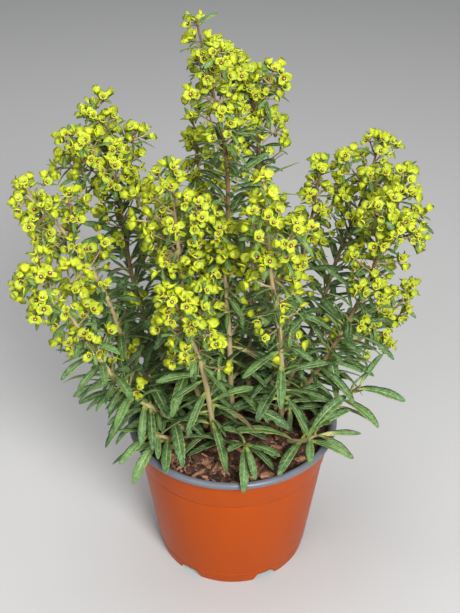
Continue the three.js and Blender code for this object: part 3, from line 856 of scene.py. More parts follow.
def bark_chip_material(settings):
    """Bark chips: each its own shade from dark to pale, with fibres along it."""
    material, nodes = new_material("bark_chips")
    shade = kept(nodes, "tone")
    blotch = noise(nodes, 160, 4, roughness=0.65)
    fibre = noise(nodes, 900, 3, stretch=(1.0, 0.35, 0.6))
    pale = nodes.clamped(nodes.ramp(shade, 0.55, 1.0) * 0.8 + nodes.ramp(blotch, 0.5, 0.75) * 0.3 - 0.12)
    base = mix(nodes, pale, settings.bark_colour, settings.pale_bark_colour)
    base = mix(nodes, nodes.ramp(shade, 0.45, 0.0) * 0.75, base, settings.soil_and_gap_shade_colour)
    base = mix(nodes, nodes.ramp(fibre, 0.35, 0.7) * 0.45, base, settings.soil_and_gap_shade_colour)
    surface(nodes, base, fibre + blotch, 0.0006, Roughness=0.85)
    return material


def soil_material(settings):
    material, nodes = new_material("fine_compost")
    grain = noise(nodes, 700, 5, roughness=0.7)
    # The fine compost between the chips, kept nearly black as painted shade in the gaps, with grains of
    # bark.
    base = mix(nodes, nodes.ramp(grain, 0.4, 0.75), settings.soil_and_gap_shade_colour, settings.bark_colour)
    surface(nodes, base, grain, 0.0012, Roughness=0.95)
    return material


def stalk_material(settings):
    """Woody stems: tan bark low down, reddish higher up, with fibres along them."""
    material, nodes = new_material("stem_bark")
    tone = kept(nodes, "tone")
    fibre = noise(nodes, 520, 4, stretch=(1.0, 1.0, 0.12))
    blotch = noise(nodes, 90, 3)
    base = mix(nodes, tone, settings.bark_colour, settings.shoot_colour)
    green = nodes.ramp(blotch, 0.5, 0.7) * 0.3
    base = mix(nodes, green, base, settings.rib_colour)
    base = mix(nodes, nodes.ramp(fibre, 0.5, 0.8) * 0.25, base, settings.shoot_colour)
    surface(nodes, base, fibre, 0.0005, Roughness=0.65)
    return material


def leaf_material(settings):
    """Leaves: a pale midrib and thin margin along the blade's own length, and dull green between."""
    material, nodes = new_material("leaves")
    along, across = kept(nodes, "along"), nodes.maths("ABSOLUTE", kept(nodes, "across"))
    tone, youth, under = kept(nodes, "tone"), kept(nodes, "youth"), kept(nodes, "under")
    wear = kept(nodes, "wear")
    mottle, patch = noise(nodes, 260, 5, roughness=0.6), noise(nodes, 75, 3)
    # Painted light and shade: the tone, set by where a leaf stands, mixes the shaded green into the lit
    # one; the mottle is the leaf's own.
    light = nodes.clamped(tone * 0.75 + nodes.ramp(mottle, 0.35, 0.7) * 0.5 - 0.14)
    base = mix(nodes, light, settings.painted_shade_leaf_green, settings.painted_light_leaf_green)
    # Wax bloom and painted sheen: grey patches by the mottle, more of them where the tone paints light.
    base = mix(nodes, nodes.ramp(mottle + tone * 0.2, 0.55, 0.8) * 0.25, base, settings.wax_and_sheen_colour)
    base = mix(nodes, youth, base, settings.young_colour)
    veins = nodes.maths("SINE", along * 75 - across * 9)
    base = mix(nodes, nodes.ramp(veins, 0.55, 1.0) * 0.07, base, settings.rib_colour)
    rib = nodes.ramp(across, 0.12, 0.03) * nodes.ramp(along, 1.0, 0.55) * 0.8
    margin = nodes.ramp(across, 0.76, 0.95) * 0.7
    petiole = nodes.ramp(along, 0.26, 0.1)
    pale = nodes.maths("MAXIMUM", nodes.maths("MAXIMUM", rib, margin), petiole)
    base = mix(nodes, pale, base, settings.rib_colour)
    base = mix(nodes, petiole * 0.5, base, settings.petiole_colour)
    base = mix(nodes, nodes.clamped(under * 2.5) * 0.4, base, settings.rib_colour)
    faded = nodes.ramp(wear, 0.965, 0.975) * nodes.ramp(along + patch * 0.4, 0.75, 0.45)
    base = mix(nodes, faded * 0.9, base, settings.faded_colour)
    dry = nodes.ramp(wear, 0.86, 0.96) * nodes.ramp(patch + across * 0.12, 0.58, 0.66)
    base = mix(nodes, dry * 0.8, base, settings.dry_colour)
    height = mottle * 0.7 + nodes.ramp(veins, 0.2, 1.0) * 0.4
    surface(nodes, base, height, 0.0009, Roughness=0.5, Specular_IOR_Level=0.35)
    return material


def flower_material(settings):
    """Flowers: yellow-green bracts, greener when young, olive inside the cup where shade is painted, a
    ring of dark glands and a pale middle.
    """
    material, nodes = new_material("flowers")
    organ, tone, rim = kept(nodes, "organ"), kept(nodes, "tone"), kept(nodes, "rim")
    mottle = noise(nodes, 420, 2)
    young = nodes.clamped(tone * 0.9 + mottle * 0.4 - 0.35 - rim * 0.35)
    base = mix(nodes, young, settings.bract_colour, settings.young_and_shaded_bract_colour)
    petal = nodes.ramp(organ, 0.4, 0.1)
    # Painted shade: the inner part of each bract turns olive, as if the cup's hollow were in shade, and
    # the edge stays bright.
    base = mix(nodes, nodes.ramp(rim, 0.95, 0.4) * petal * 0.55, base, settings.young_and_shaded_bract_colour)
    base = mix(nodes, nodes.ramp(rim, 0.45, 0.0) * petal * 0.55, base, settings.gland_colour)
    base = mix(nodes, nodes.ramp(organ, 0.4, 0.6), base, settings.gland_colour)
    base = mix(nodes, nodes.ramp(organ, 1.55, 1.8), base, settings.anther_colour)
    surface(nodes, base, mottle, 0.0003, Roughness=0.5, Specular_IOR_Level=0.3, Subsurface_Weight=0.2,
            Subsurface_Radius=(0.002, 0.002, 0.0004), Subsurface_Scale=0.6)
    return material


# ---------------------------------------------------------------- pot
def turned(profile, sides):
    """A closed solid turned round Z. Its profile starts and ends on the axis."""
    bm = bmesh.new()
    rings = []
    for radius, height in profile:
        count = sides if radius else 1
        turns = [2 * math.pi * i / sides for i in range(count)]
        spots = [(radius * math.cos(turn), radius * math.sin(turn), height) for turn in turns]
        rings.append([bm.verts.new(spot) for spot in spots])
    for lower, upper in zip(rings, rings[1:]):
        for i in range(sides):
            corners = [lower[i % len(lower)], lower[(i + 1) % len(lower)],
                       upper[(i + 1) % len(upper)], upper[i % len(upper)]]
            bm.faces.new(list(dict.fromkeys(corners)))
    bmesh.ops.recalc_face_normals(bm, faces=bm.faces)
    return bm


def rounded(corners):
    """A profile of (radius, height, bend) corners, with each corner that has a bend rounded by it."""
    profile = []
    for i, (radius, height, bend) in enumerate(corners):
        here = Vector((radius, height))
        if not bend:
            profile.append(tuple(here))
            continue
        before, after = Vector(corners[i - 1][:2]) - here, Vector(corners[i + 1][:2]) - here
        start = here + before.normalized() * min(bend, before.length * 0.5)
        end = here + after.normalized() * min(bend, after.length * 0.5)
        for step in range(5):
            part = step / 4
            profile.append(tuple(start.lerp(here, part).lerp(here.lerp(end, part), part)))
    return profile


def pot_profile():
    """Up the outside from the middle of the underside, over the rim, and down the inside."""
    underside, floor_top = POT_HEIGHT - RIM_DEPTH, FLOOR_UNDERSIDE + FLOOR_THICKNESS
    collar_rise = underside - COLLAR_HEIGHT
    collar_slope = (WALL_TOP_RADIUS - wall_radius(COLLAR_HEIGHT) - COLLAR_STEP) / collar_rise

    def collar_radius(height):
        return wall_radius(COLLAR_HEIGHT) + COLLAR_STEP + collar_slope * (height - COLLAR_HEIGHT)

    return rounded([
        (0, FLOOR_UNDERSIDE, 0),
        (FOOT_RADIUS - 3.5, FLOOR_UNDERSIDE, 0),
        (FOOT_RADIUS - 2.8, 0, 0),
        (FOOT_RADIUS, 0, 0.5),
        (wall_radius(FOOT_HEIGHT) - FOOT_RECESS, FOOT_HEIGHT, 0.2),
        (wall_radius(FOOT_HEIGHT), FOOT_HEIGHT + 0.4, 0.3),
        (wall_radius(FOOT_LINE - 0.7), FOOT_LINE - 0.7, 0.2),
        (wall_radius(FOOT_LINE) - GROOVE, FOOT_LINE, 0.2),
        (wall_radius(FOOT_LINE + 0.7), FOOT_LINE + 0.7, 0.2),
        (wall_radius(COLLAR_HEIGHT - 1.6), COLLAR_HEIGHT - 1.6, 0.3),
        (wall_radius(COLLAR_HEIGHT - 1.4) - COLLAR_GROOVE, COLLAR_HEIGHT - 1.4, 0),
        (wall_radius(COLLAR_HEIGHT) - COLLAR_GROOVE, COLLAR_HEIGHT, 0),
        (collar_radius(COLLAR_HEIGHT), COLLAR_HEIGHT + 0.2, 0.3),
        (collar_radius(RIM_LINE - 0.8), RIM_LINE - 0.8, 0.2),
        (collar_radius(RIM_LINE) - GROOVE, RIM_LINE, 0.2),
        (collar_radius(RIM_LINE + 0.8), RIM_LINE + 0.8, 0.2),
        (WALL_TOP_RADIUS, underside, 0.8),
        (RIM_RADIUS - 0.9, underside, 0.5),
        (RIM_RADIUS, underside + 1.6, 0.9),
        (RIM_RADIUS, POT_HEIGHT - 1.7, 1.2),
        (RIM_RADIUS - 1.7, POT_HEIGHT, 1.2),
        (RIM_RADIUS - 4.6, POT_HEIGHT, 1.2),
        (inner_radius(POT_HEIGHT - 4), POT_HEIGHT - 4, 1.0),
        (inner_radius(floor_top), floor_top, 3.0),
        (0, floor_top, 0),
    ])


def notch_cutters():
    """The six trapezium-shaped drainage cut-outs of the foot, as one mesh of loose prisms."""
    bm = bmesh.new()
    half, top = NOTCH_WIDTH / 2 + 1, NOTCH_TOP_WIDTH / 2
    for i in range(NOTCH_COUNT):
        turn = math.radians(-90 + NOTCH_TURN + 360 / NOTCH_COUNT * (i + 0.5))
        outwards = Vector((math.cos(turn), math.sin(turn), 0))
        sideways = Vector((-math.sin(turn), math.cos(turn), 0))
        rings = [[bm.verts.new(outwards * radius + sideways * x + Vector((0, 0, z)))
                  for x, z in ((-half, -1), (half, -1), (top, NOTCH_HEIGHT), (-top, NOTCH_HEIGHT))]
                 for radius in (FOOT_RADIUS - 8, FOOT_RADIUS + 8)]
        for k in range(4):
            bm.faces.new((rings[0][k], rings[0][(k + 1) % 4], rings[1][(k + 1) % 4], rings[1][k]))
        for ring in rings:
            bm.faces.new(ring)
    bmesh.ops.recalc_face_normals(bm, faces=bm.faces)
    return bm


def plain_mesh(name, bm):
    """A mesh in metres from one in millimetres."""
    bmesh.ops.scale(bm, vec=(MM, MM, MM), verts=bm.verts)
    mesh = bpy.data.meshes.new(name)
    bm.to_mesh(mesh)
    bm.free()
    return mesh


def smooth_by_angle(mesh, degrees):
    """Smooth faces, with the edges that fold more than this kept sharp."""
    bm = bmesh.new()
    bm.from_mesh(mesh)
    for face in bm.faces:
        face.smooth = True
    for edge in bm.edges:
        edge.smooth = len(edge.link_faces) == 2 and edge.calc_face_angle(0) < math.radians(degrees)
    bm.to_mesh(mesh)
    bm.free()


POT_FOLD = 32  # edges that fold more than this stay sharp, in degrees
COMPOST_FOLD = 50


class EUPHORBIA_OT_pot(bpy.types.Operator):
    """Turns the nursery pot, with its collar, rolled rim and drainage cut-outs"""

    bl_idname = "euphorbia.pot"
    bl_label = "Make the pot"

    def execute(self, context):
        settings = context.scene.euphorbia_pot
        shell = new_object("pot_shell", plain_mesh("pot_shell", turned(pot_profile(), settings.sides)))
        cutters = new_object("pot_cutters", plain_mesh("pot_cutters", notch_cutters()))
        cut = shell.modifiers.new("Notches", "BOOLEAN")
        cut.operation, cut.solver, cut.object = "DIFFERENCE", "EXACT", cutters
        depsgraph = context.evaluated_depsgraph_get()
        mesh = bpy.data.meshes.new_from_object(shell.evaluated_get(depsgraph))
        bpy.data.objects.remove(shell)
        bpy.data.objects.remove(cutters)
        smooth_by_angle(mesh, POT_FOLD)
        mesh.materials.clear()
        mesh.materials.append(plastic("pot_outside", settings.wall_colour, roughness=0.36, shine=0.1))
        mesh.materials.append(plastic("pot_rim", settings.rim_colour, roughness=0.32, shine=0.45))
        for face in mesh.polygons:
            out = math.hypot(face.center.x, face.center.y) / MM
            height = face.center.z / MM
            on_wall = out > wall_radius(height) - FOOT_RECESS - 0.4
            below_rim = height < POT_HEIGHT - RIM_DEPTH - 0.2
            face.material_index = 0 if on_wall and below_rim else 1
        pot = new_object("nursery_pot", mesh)
        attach(pot, "root")
        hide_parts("pot")
        return {"FINISHED"}


# ---------------------------------------------------------------- compost
CHIP_STOPS = ((-1.0, 0.45), (-0.4, 1.0), (0.45, 0.85), (1.0, 0.4))  # share of its half length, size
CHIP_SECTION = ((-1, -1), (1, -1), (1, 0.4), (0, 1), (-1, 0.5))  # shares of its half width and height


def chip_shape(name, seed, length, width, height):
    """A splinter of bark: a slab with broken ends and uneven faces."""
    row = Row(seed)
    bm = bmesh.new()
    rings = []
    sides = len(CHIP_SECTION)
    for share, size in CHIP_STOPS:
        ring = []
        for across, up in CHIP_SECTION:
            ring.append(bm.verts.new((
                (share + row.draw(-0.18, 0.18)) * length / 2,
                (across * size + row.draw(-0.25, 0.25)) * width / 2,
                (up * size + row.draw(-0.3, 0.3)) * height / 2)))
        rings.append(ring)
    for ring, after in zip(rings, rings[1:]):
        for i in range(sides):
            bm.faces.new((ring[i], ring[(i + 1) % sides], after[(i + 1) % sides], after[i]))
    bm.faces.new(reversed(rings[0]))
    bm.faces.new(rings[-1])
    bmesh.ops.recalc_face_normals(bm, faces=bm.faces)
    return template(name, bm)


def chip_tree():
    """Scatters chips of three shapes on a surface, each turned and sized by chance."""
    nodes = GeometryNodes(
        "Bark chips",
        First=("Object", "First chip shape"), Second=("Object", "Second chip shape"),
        Third=("Object", "Third chip shape"), Density=("Float", "Chips on each square metre"),
        Size=("Float", "Size of an ordinary chip"),
        Lift=("Float", "How far chips stand out of the surface"),
        Seed=("Int", "Another number gives another scatter"), Material=("Material", "Bark"))
    scatter = {
        "Mesh": nodes.given("Geometry"), "Density": nodes.given("Density"), "Seed": nodes.given("Seed")}
    points = nodes.out("GeometryNodeDistributePointsOnFaces", scatter, "Points")

    def chance(low, high, seed, kind="FLOAT"):
        inputs = {"Min": low, "Max": high, "Seed": nodes.given("Seed") + seed}
        return nodes.out("FunctionNodeRandomValue", inputs, "Value", data_type=kind)

    lift = nodes.out("ShaderNodeCombineXYZ", {"Z": chance(-0.4, 1.0, 5) * nodes.given("Lift")})
    points = nodes.out("GeometryNodeSetPosition", {"Geometry": points, "Offset": lift})
    tone = {"Geometry": points, "Name": "tone", "Value": chance(0.0, 1.0, 6)}
    points = nodes.out("GeometryNodeStoreNamedAttribute", tone, data_type="FLOAT", domain="POINT")
    heap = nodes.add("GeometryNodeJoinGeometry")
    for label in ("Third", "Second", "First"):
        single = nodes.out("GeometryNodeGeometryToInstance", {"Geometry": nodes.shape_of(label)})
        nodes.tree.links.new(single.socket, heap.inputs["Geometry"])
    tilt = chance((-0.5, -0.5, 0.0), (0.5, 0.5, 6.3), 1, "FLOAT_VECTOR")
    lying = nodes.out("FunctionNodeEulerToRotation", {"Euler": tilt})
    size = chance((0.55, 0.6, 0.6), (1.5, 1.35, 1.3), 2, "FLOAT_VECTOR") * nodes.given("Size")
    pick = {"Pick Instance": True, "Instance Index": chance(0, 2, 3, "INT")}
    chips = nodes.realized(
        points, Value(nodes, heap.outputs["Geometry"]), Rotation=lying, Scale=size, **pick)
    return nodes.finish(chips, smooth=False)


COMPOST_ROW = 77  # the row of random numbers for the top of the compost
CHIP_ROW = 31  # and the row for the first chip shape
MOUND_HEIGHT = 2.2
HILLS = 26  # low hills and hollows on the mound
DISC_RINGS = 26
DISC_SECTORS = 96


class Compost:
    """The top of the compost in millimetres: a low mound, a little uneven."""

    def __init__(self):
        row = Row(COMPOST_ROW)
        self.radius = inner_radius(SOIL_LEVEL) - 0.4
        self.hills = [(row.draw(-70, 70), row.draw(-70, 70), row.draw(12, 26), row.draw(-3.0, 3.2))
                      for _ in range(HILLS)]

    def level(self, x, y):
        mound = MOUND_HEIGHT * (1 - (x * x + y * y) / self.radius ** 2)
        bumps = sum(up * math.exp(-((x - a) ** 2 + (y - b) ** 2) / size ** 2)
                    for a, b, size, up in self.hills)
        return SOIL_LEVEL - 0.5 + mound + bumps

    def disc(self, radius):
        """The top out to a radius, with the ring of its edge."""
        bm = bmesh.new()
        circles = [[bm.verts.new((0, 0, self.level(0, 0)))]]
        turns = [2 * math.pi * k / DISC_SECTORS for k in range(DISC_SECTORS)]
        for i in range(1, DISC_RINGS + 1):
            out = radius * i / DISC_RINGS
            spots = [(out * math.cos(turn), out * math.sin(turn)) for turn in turns]
            circles.append([bm.verts.new((x, y, self.level(x, y))) for x, y in spots])
        for inner, outer in zip(circles, circles[1:]):
            for k in range(DISC_SECTORS):
                after = (k + 1) % DISC_SECTORS
                corners = [inner[k % len(inner)], outer[k], outer[after], inner[after % len(inner)]]
                bm.faces.new(list(dict.fromkeys(corners)))
        return bm, circles[-1]

    def body(self):
        """The whole fill, from the pot's floor to the top."""
        bm, edge = self.disc(self.radius)
        floor = FLOOR_UNDERSIDE + FLOOR_THICKNESS + GAP
        low_radius = inner_radius(floor) - GAP
        count = len(edge)
        turns = [2 * math.pi * k / count for k in range(count)]
        foot = [bm.verts.new((low_radius * math.cos(turn), low_radius * math.sin(turn), floor))
                for turn in turns]
        for k in range(count):
            bm.faces.new((edge[k], foot[k], foot[(k + 1) % count], edge[(k + 1) % count]))
        bm.faces.new(reversed(foot))
        bmesh.ops.recalc_face_normals(bm, faces=bm.faces)
        return bm


# name, clearance from the pot's wall in mm, size and number against an ordinary chip, lift, seed
CHIP_LAYERS = (
    ("chips", 8.5, 1.0, 1.0, 0.0022, 3),
    ("small_chips", 5.5, 0.6, 1.3, 0.0018, 7),
    ("crumbs", 2.5, 0.32, 3.0, 0.0014, 11),
)
CHIP_SIZES = ((1.3, 0.5, 0.26), (1.0, 0.66, 0.32), (0.8, 0.5, 0.4))  # length, width, height


class EUPHORBIA_OT_compost(bpy.types.Operator):
    """Fills the pot with compost and scatters bark chips and crumbs on it"""

    bl_idname = "euphorbia.compost"
    bl_label = "Make the compost"

    def execute(self, context):
        settings = context.scene.euphorbia_compost
        compost = Compost()
        mesh = plain_mesh("compost_body", compost.body())
        mesh.materials.append(soil_material(settings))
        smooth_by_angle(mesh, COMPOST_FOLD)
        write_values(mesh, tone=[0.0] * len(mesh.vertices))
        pieces = [new_object("compost_body", mesh)]
        shapes = [chip_shape(f"chip_{i}", CHIP_ROW + i, *size) for i, size in enumerate(CHIP_SIZES)]
        bark, tree = bark_chip_material(settings), chip_tree()
        for name, clearance, size, number, lift, seed in CHIP_LAYERS:
            top, _ = compost.disc(compost.radius - clearance)
            pieces.append(grown(
                name, plain_mesh(name, top), tree, First=shapes[0], Second=shapes[1], Third=shapes[2],
                Density=settings.chip_density * number, Size=settings.chip_length * size,
                Lift=lift, Seed=seed, Material=bark))
        piece = joined(pieces)
        piece.name = "bark_compost_top"
        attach(piece, "root")
        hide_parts("compost")
        for shape in shapes:
            bpy.data.objects.remove(shape)
        return {"FINISHED"}


# ---------------------------------------------------------------- leaves and stalks
BLADE_STOPS = (0.0, 0.07, 0.16, 0.27, 0.39, 0.51, 0.63, 0.75, 0.86, 0.94, 0.98)
# across the blade, as a share of its half width, and 1 for the one corner of its under side
BLADE_SECTION = ((-1, 0), (0, 1), (1, 0), (0.5, 0), (0, 0), (-0.5, 0))
STALK_SIDES = 10
PEDICEL_SIDES = 4


def blade_shape():
    """A blade laid out by its own coordinates: how far along, how far across, and on which side."""
    bm = bmesh.new()
    along, across, under = [], [], []

    def corner(x, y, below):
        along.append(y)
        across.append(x)
        under.append(below)
        return bm.verts.new((x * MM, y * MM, -below * MM))

    rings = [[corner(x, y, below) for x, below in BLADE_SECTION] for y in BLADE_STOPS]
    tip = corner(0, 1.0, 0)
    sides = len(BLADE_SECTION)
    for ring, after in zip(rings, rings[1:]):
        for i in range(sides):
            bm.faces.new((ring[i], ring[(i + 1) % sides], after[(i + 1) % sides], after[i]))
    for i in range(sides):
        bm.faces.new((rings[-1][i], rings[-1][(i + 1) % sides], tip))
    bm.faces.new(reversed(rings[0]))
    bmesh.ops.recalc_face_normals(bm, faces=bm.faces)
    return template("blade", bm, along=along, across=across, under=under)


def leaf_tree():
    """Puts a blade at each point and bends it: an arc in the way that it leaves its stem."""
    nodes = GeometryNodes(
        "Leaf blades",
        Blade=("Object", "Blade laid out by its own coordinates"),
        Widest=("Float", "Where a leaf is widest, as a share of its length"),
        Petiole=("Float", "Half width at the root, as a share of the widest"),
        Groove=("Float", "Depth of the midrib's groove, as a share of the half width"),
        Waves=("Float", "Height of the waves along the edge, as a share of the half width"),
        Thickness=("Float", "Thickness of the blade at its midrib"),
        Material=("Material", "Leaf"))
    blades = nodes.realized(nodes.given("Geometry"), nodes.shape_of("Blade"))
    along, across, under = nodes.attribute("along"), nodes.attribute("across"), nodes.attribute("under")
    root, heading = nodes.attribute("root", "FLOAT_VECTOR"), nodes.attribute("heading", "FLOAT_VECTOR")
    length, half = nodes.attribute("length"), nodes.attribute("half_width")
    rise, bend, roll = nodes.attribute("rise"), nodes.attribute("bend"), nodes.attribute("roll")
    phase, fold = nodes.attribute("phase"), nodes.attribute("fold")

    def sine(angle):
        return nodes.maths("SINE", angle)

    def cosine(angle):
        return nodes.maths("COSINE", angle)

    angle = rise - bend * along
    arc = length / bend
    upward = nodes.out("ShaderNodeCombineXYZ", {"Z": 1.0})
    outward = heading * (arc * (sine(rise) - sine(angle)))
    middle = root + outward + upward * (arc * (cosine(angle) - cosine(rise)))
    normal = upward * cosine(angle) - heading * sine(angle)
    side = nodes.maths("CROSS_PRODUCT", upward, heading)
    turn = roll * along
    level = side * cosine(turn) + normal * sine(turn)
    lifted = normal * cosine(turn) - side * sine(turn)

    power = nodes.maths("LOGARITHM", 0.5, nodes.given("Widest"))
    swell = nodes.maths("MAXIMUM", sine((along ** power) * math.pi), 0.0) ** 0.55
    petiole = nodes.given("Petiole")
    width = half * (swell * (1.0 - petiole) + petiole * (1.0 - along))
    out = nodes.maths("ABSOLUTE", across)
    arch = nodes.given("Groove") * fold * (out - out * out * 0.5)
    ripple = sine(along * 17.0 + phase + across * 1.4) + sine(along * 37.0 - phase * 2.0 + across) * 0.35
    wave = ripple * out * out * nodes.given("Waves")
    height = width * (arch + wave) - under * nodes.given("Thickness") * (1.15 - along)
    place = middle + level * (width * across) + lifted * height
    blades = nodes.out("GeometryNodeSetPosition", {"Geometry": blades, "Position": place})
    return nodes.finish(blades)


def stalk_tree():
    """Gives chains of edges their thickness."""
    nodes = GeometryNodes(
        "Stalks", Sides=("Int", "Faces round a stalk"), Material=("Material", "Stem"))
    curve = nodes.out("GeometryNodeMeshToCurve", {"Mesh": nodes.given("Geometry")})
    circle = {"Resolution": nodes.given("Sides"), "Radius": 1.0}
    ring = nodes.out("GeometryNodeCurvePrimitiveCircle", circle, "Curve")
    inputs = {"Curve": curve, "Profile Curve": ring, "Scale": nodes.attribute("radius"), "Fill Caps": True}
    return nodes.finish(nodes.out("GeometryNodeCurveToMesh", inputs))


def leaf_piece(name, leaves, tree, blade, material, settings, seed):
    """One mesh of leaves."""
    row = Row(seed)
    roots = in_metres([leaf.root for leaf in leaves])
    cloud = point_cloud(
        name, roots, root=roots, heading=[leaf.heading for leaf in leaves],
        length=[leaf.length * MM for leaf in leaves],
        half_width=[leaf.half_width * MM * row.draw(0.78, 1.0) for leaf in leaves],
        rise=[leaf.rise for leaf in leaves], bend=[leaf.bend for leaf in leaves],
        roll=[row.draw(-0.8, 0.8) for _ in leaves], phase=[row.draw(0, 6.3) for _ in leaves],
        fold=[row.draw(0.5, 2.2) for _ in leaves], wear=[row.draw(0, 1) for _ in leaves],
        tone=[leaf.tone for leaf in leaves], youth=[leaf.youth for leaf in leaves])
    return grown(
        name, cloud, tree, Blade=blade, Widest=settings.widest_at, Petiole=settings.petiole,
        Groove=settings.groove, Waves=settings.waves, Thickness=settings.thickness, Material=material)


def stalk_piece(name, stalks, tree, material, sides):
    """One mesh of stalks."""
    return grown(name, chains(name, stalks), tree, Sides=sides, Material=material)


# ---------------------------------------------------------------- the finer plant
class Stalk:
    """A round stalk: its middle line, and the radius and tone at each point of it."""

    def __init__(self, points, radii, tones):
        self.points = points
        self.radii = radii
        self.tones = tones


class Bloom:
    """One flower: where its cup starts, the way it faces, its size, how far it is open, its tone."""

    def __init__(self, place, facing, size, opening, tone):
        self.place = place
        self.facing = facing
        self.tone = tone
        wide, deep, high = 0.58 + 0.42 * opening, 0.8 + 0.2 * opening, 1.5 - 0.6 * opening
        self.scale = (size * wide, size * deep, size * high)


# Stems with tan bark. The others are reddish.
TAN_STEMS = ("front_left", "front_right", "middle_left", "middle", "left_lower", "far_left")
BARE_FRONTS = ("front_left", "front_right", "middle")  # seen bare from the front
BACK_SHOOTS = ("left_back", "right_back", "back")  # the shoots that get more leaves
# Stems that get two rounds of leaves more than the rest, and those that get at least one more.
DENSEST_STEMS = (
    "right_middle", "right_tall", "right", "far_right", "back_right", "back_left", "left_upper",
    "far_left", "left_lower")
DENSE_STEMS = (*DENSEST_STEMS, "second", "tall", "middle")
FINE_TIP_RADIUS = 0.75
USUAL_BRANCHES = 2
SIDE_BRANCHES = {
    "left_upper": 7, "second": 4, "right": 5, "right_tall": 4, "middle_left": 4, "far_left": 3, "tall": 2,
    "front_right": 2, "front_left": 1, "left_lower": 2, "far_right": 2, "middle": 1, "right_middle": 2}
TWIGS = 4  # on each side branch
USUAL_SIDE_SPRAYS = 3
SIDE_SPRAYS = {
    "second": 9, "tall": 5, "back_middle": 6, "right_middle": 6, "right_tall": 5, "left_upper": 5}
CROWN_SPRAYS = 4  # round the tip of each head
SPARSE_FEET = {"front_right": 0.36, "middle": 0.45, "front_left": 0.2}  # share of the head, from its foot
USUAL_CROWN_DROP = 12  # millimetres from the tip of a head back to its topmost flowers
CROWN_DROP = {"left_upper": 20, "far_left": 15}
FILL_SPRAYS = 1.1  # small sprays to try for each solid one
FILL_CUP_RADIUS = 4.6
FILL_BLADE_BEAD = 1.2  # radius of a leaf's beads in the rounds that fill the densest parts
FILL_MARGIN = 2.0  # how far finer leaves and sprays may stand out of the solids' box, in millimetres
TOP_MARGIN = -6.0  # the same at its top, where they stay below it
EDGE = 4.0  # how much farther blooms and small leaves may
# Further rounds of leaves: row of random numbers, how many more to try than the solid ones, their
# length against a solid leaf's, their width against their length, and the radius of their beads.
OUTER_ROUND = (200, 4, 0.96, 0.19, BLADE_BEAD)
HEAD_ROUND = (260, 8, 0.72, 0.2, BLADE_BEAD)
DENSE_ROUND = (320, 12, 1.0, 0.2, FILL_BLADE_BEAD)
DENSEST_ROUND = (380, 12, 1.0, 0.2, FILL_BLADE_BEAD)
# Painted light and shade on the leaves: lighter where they reach out of the plant, painted shade deep in
# it and high up among the flowers.
PAINTED_LIGHT_RADIUS = 120  # a leaf gets lighter the nearer its tip is to this distance from the middle
PAINTED_SHADE_HEIGHT = 250  # and a little darker with height over the compost, measured against this
STALK_STEPS = 48  # lengths that a stem is drawn in
SPRAY_RADII = (0.85, 0.7, 0.6)
BLOOM_STALK_RADII = (0.55, 0.5)
BLOOM_REACH = 6  # radius of the ball that stands for a full bloom at the edge of the room


def main_stalk(stem):
    """The stem itself, smooth along its route, thinner and redder towards its tip."""
    shares = even_shares(0, 0.97 if stem.flowering else 1, STALK_STEPS)
    points = [stem.line[0][1]] + [stem.curve_point(share) for share in shares]
    thinning, red = (2.2, 0.02) if stem.name in TAN_STEMS else (1.2, 0.75)
    taper = FINE_TIP_RADIUS - STEM_FOOT_RADIUS
    radii = [STEM_FOOT_RADIUS + taper * share ** thinning for share in shares]
    tones = [red] + [min(1.0, red * (0.5 + share) + 0.25 * share ** 3) for share in shares]
    return Stalk(points, radii[:1] + radii, tones)


def hides_front(stem, start):
    """Whether a leaf that leaves its stem this way would hide one of the bare front stems."""
    return stem.name in BARE_FRONTS and start[1] < -0.5


def hangs_low(leaf):
    """Whether the tip of a leaf hangs outside the pot, below its rim."""
    tip = leaf.section(1, 0)[0]
    return math.hypot(tip[0], tip[1]) > RIM_RADIUS - 6 and tip[2] < POT_HEIGHT + 2


def fill_leaves(stem, room, seed, extra, length_share, width, bead):
    """More leaves between the solid ones, wherever there is room."""
    row = Row(stem.seed + seed)
    phase = row.draw(0, 360)
    count = stem.leaves + extra
    low, high = stem.leaf_from * 0.6, min(stem.leaf_to + 0.05, 1)
    for i in range(count):
        up = (i + 0.5) / count
        share = low + (high - low) * up
        azimuth = phase + GOLDEN_ANGLE * i + row.draw(-20, 20)
        rise = stem.leaf_rise[0] + (stem.leaf_rise[1] - stem.leaf_rise[0]) * up + row.draw(-10, 22)
        droop = LEAF_DROOP - DROOP_LOSS * up + row.draw(-34, 16)
        length = LEAF_LENGTH * length_share * (1 - LENGTH_LOSS * up) * row.draw(0.76, 1.1)

        def build(turn, tilt, shorter):
            start = stem.leaving(share, azimuth + turn, min(rise + tilt, 80))
            return Leaf(stem.place(share)[0], start, length * shorter, max(droop, 8), width, bead=bead)

        if hides_front(stem, stem.leaving(share, azimuth, rise)):
            continue
        leaf = room.grow(build, stem, (1, 0.8, 0.62))
        if leaf and not hangs_low(leaf):
            stem.leaf_list.append(leaf)


def side_branches(stem, room):
    """Branches of the head that rise beside the stem's own tip, with twigs on them."""
    row = Row(stem.seed + BRANCH_ROW)
    phase = row.draw(0, 360)
    count = SIDE_BRANCHES.get(stem.name, USUAL_BRANCHES)
    tip = stem.route[-1]
    for i in range(count):
        share = stem.head + (1 - stem.head) * row.draw(0.0, 0.5)
        root = stem.place(share)[0]
        length = math.dist(root, tip) * row.draw(0.6, 0.9)
        sideways = stem.reach * row.draw(0.65, 1.1)
        rise = math.degrees(math.acos(min(sideways / length, 0.85)))
        azimuth = phase + 360 / count * i + row.draw(-25, 25)
        twist = row.draw(0, 360)

        def build(turn, tilt, shorter):
            start = stem.leaving(share, azimuth + turn, min(rise + tilt * 0.6, 82))
            return Spray(root, start, length * shorter, 3, twist, FILL_CUP_RADIUS)

        branch = grow_spray(build, stem, room, (1, 0.8, 0.62))
        if branch:
            grow_twigs(branch, stem, room, row)


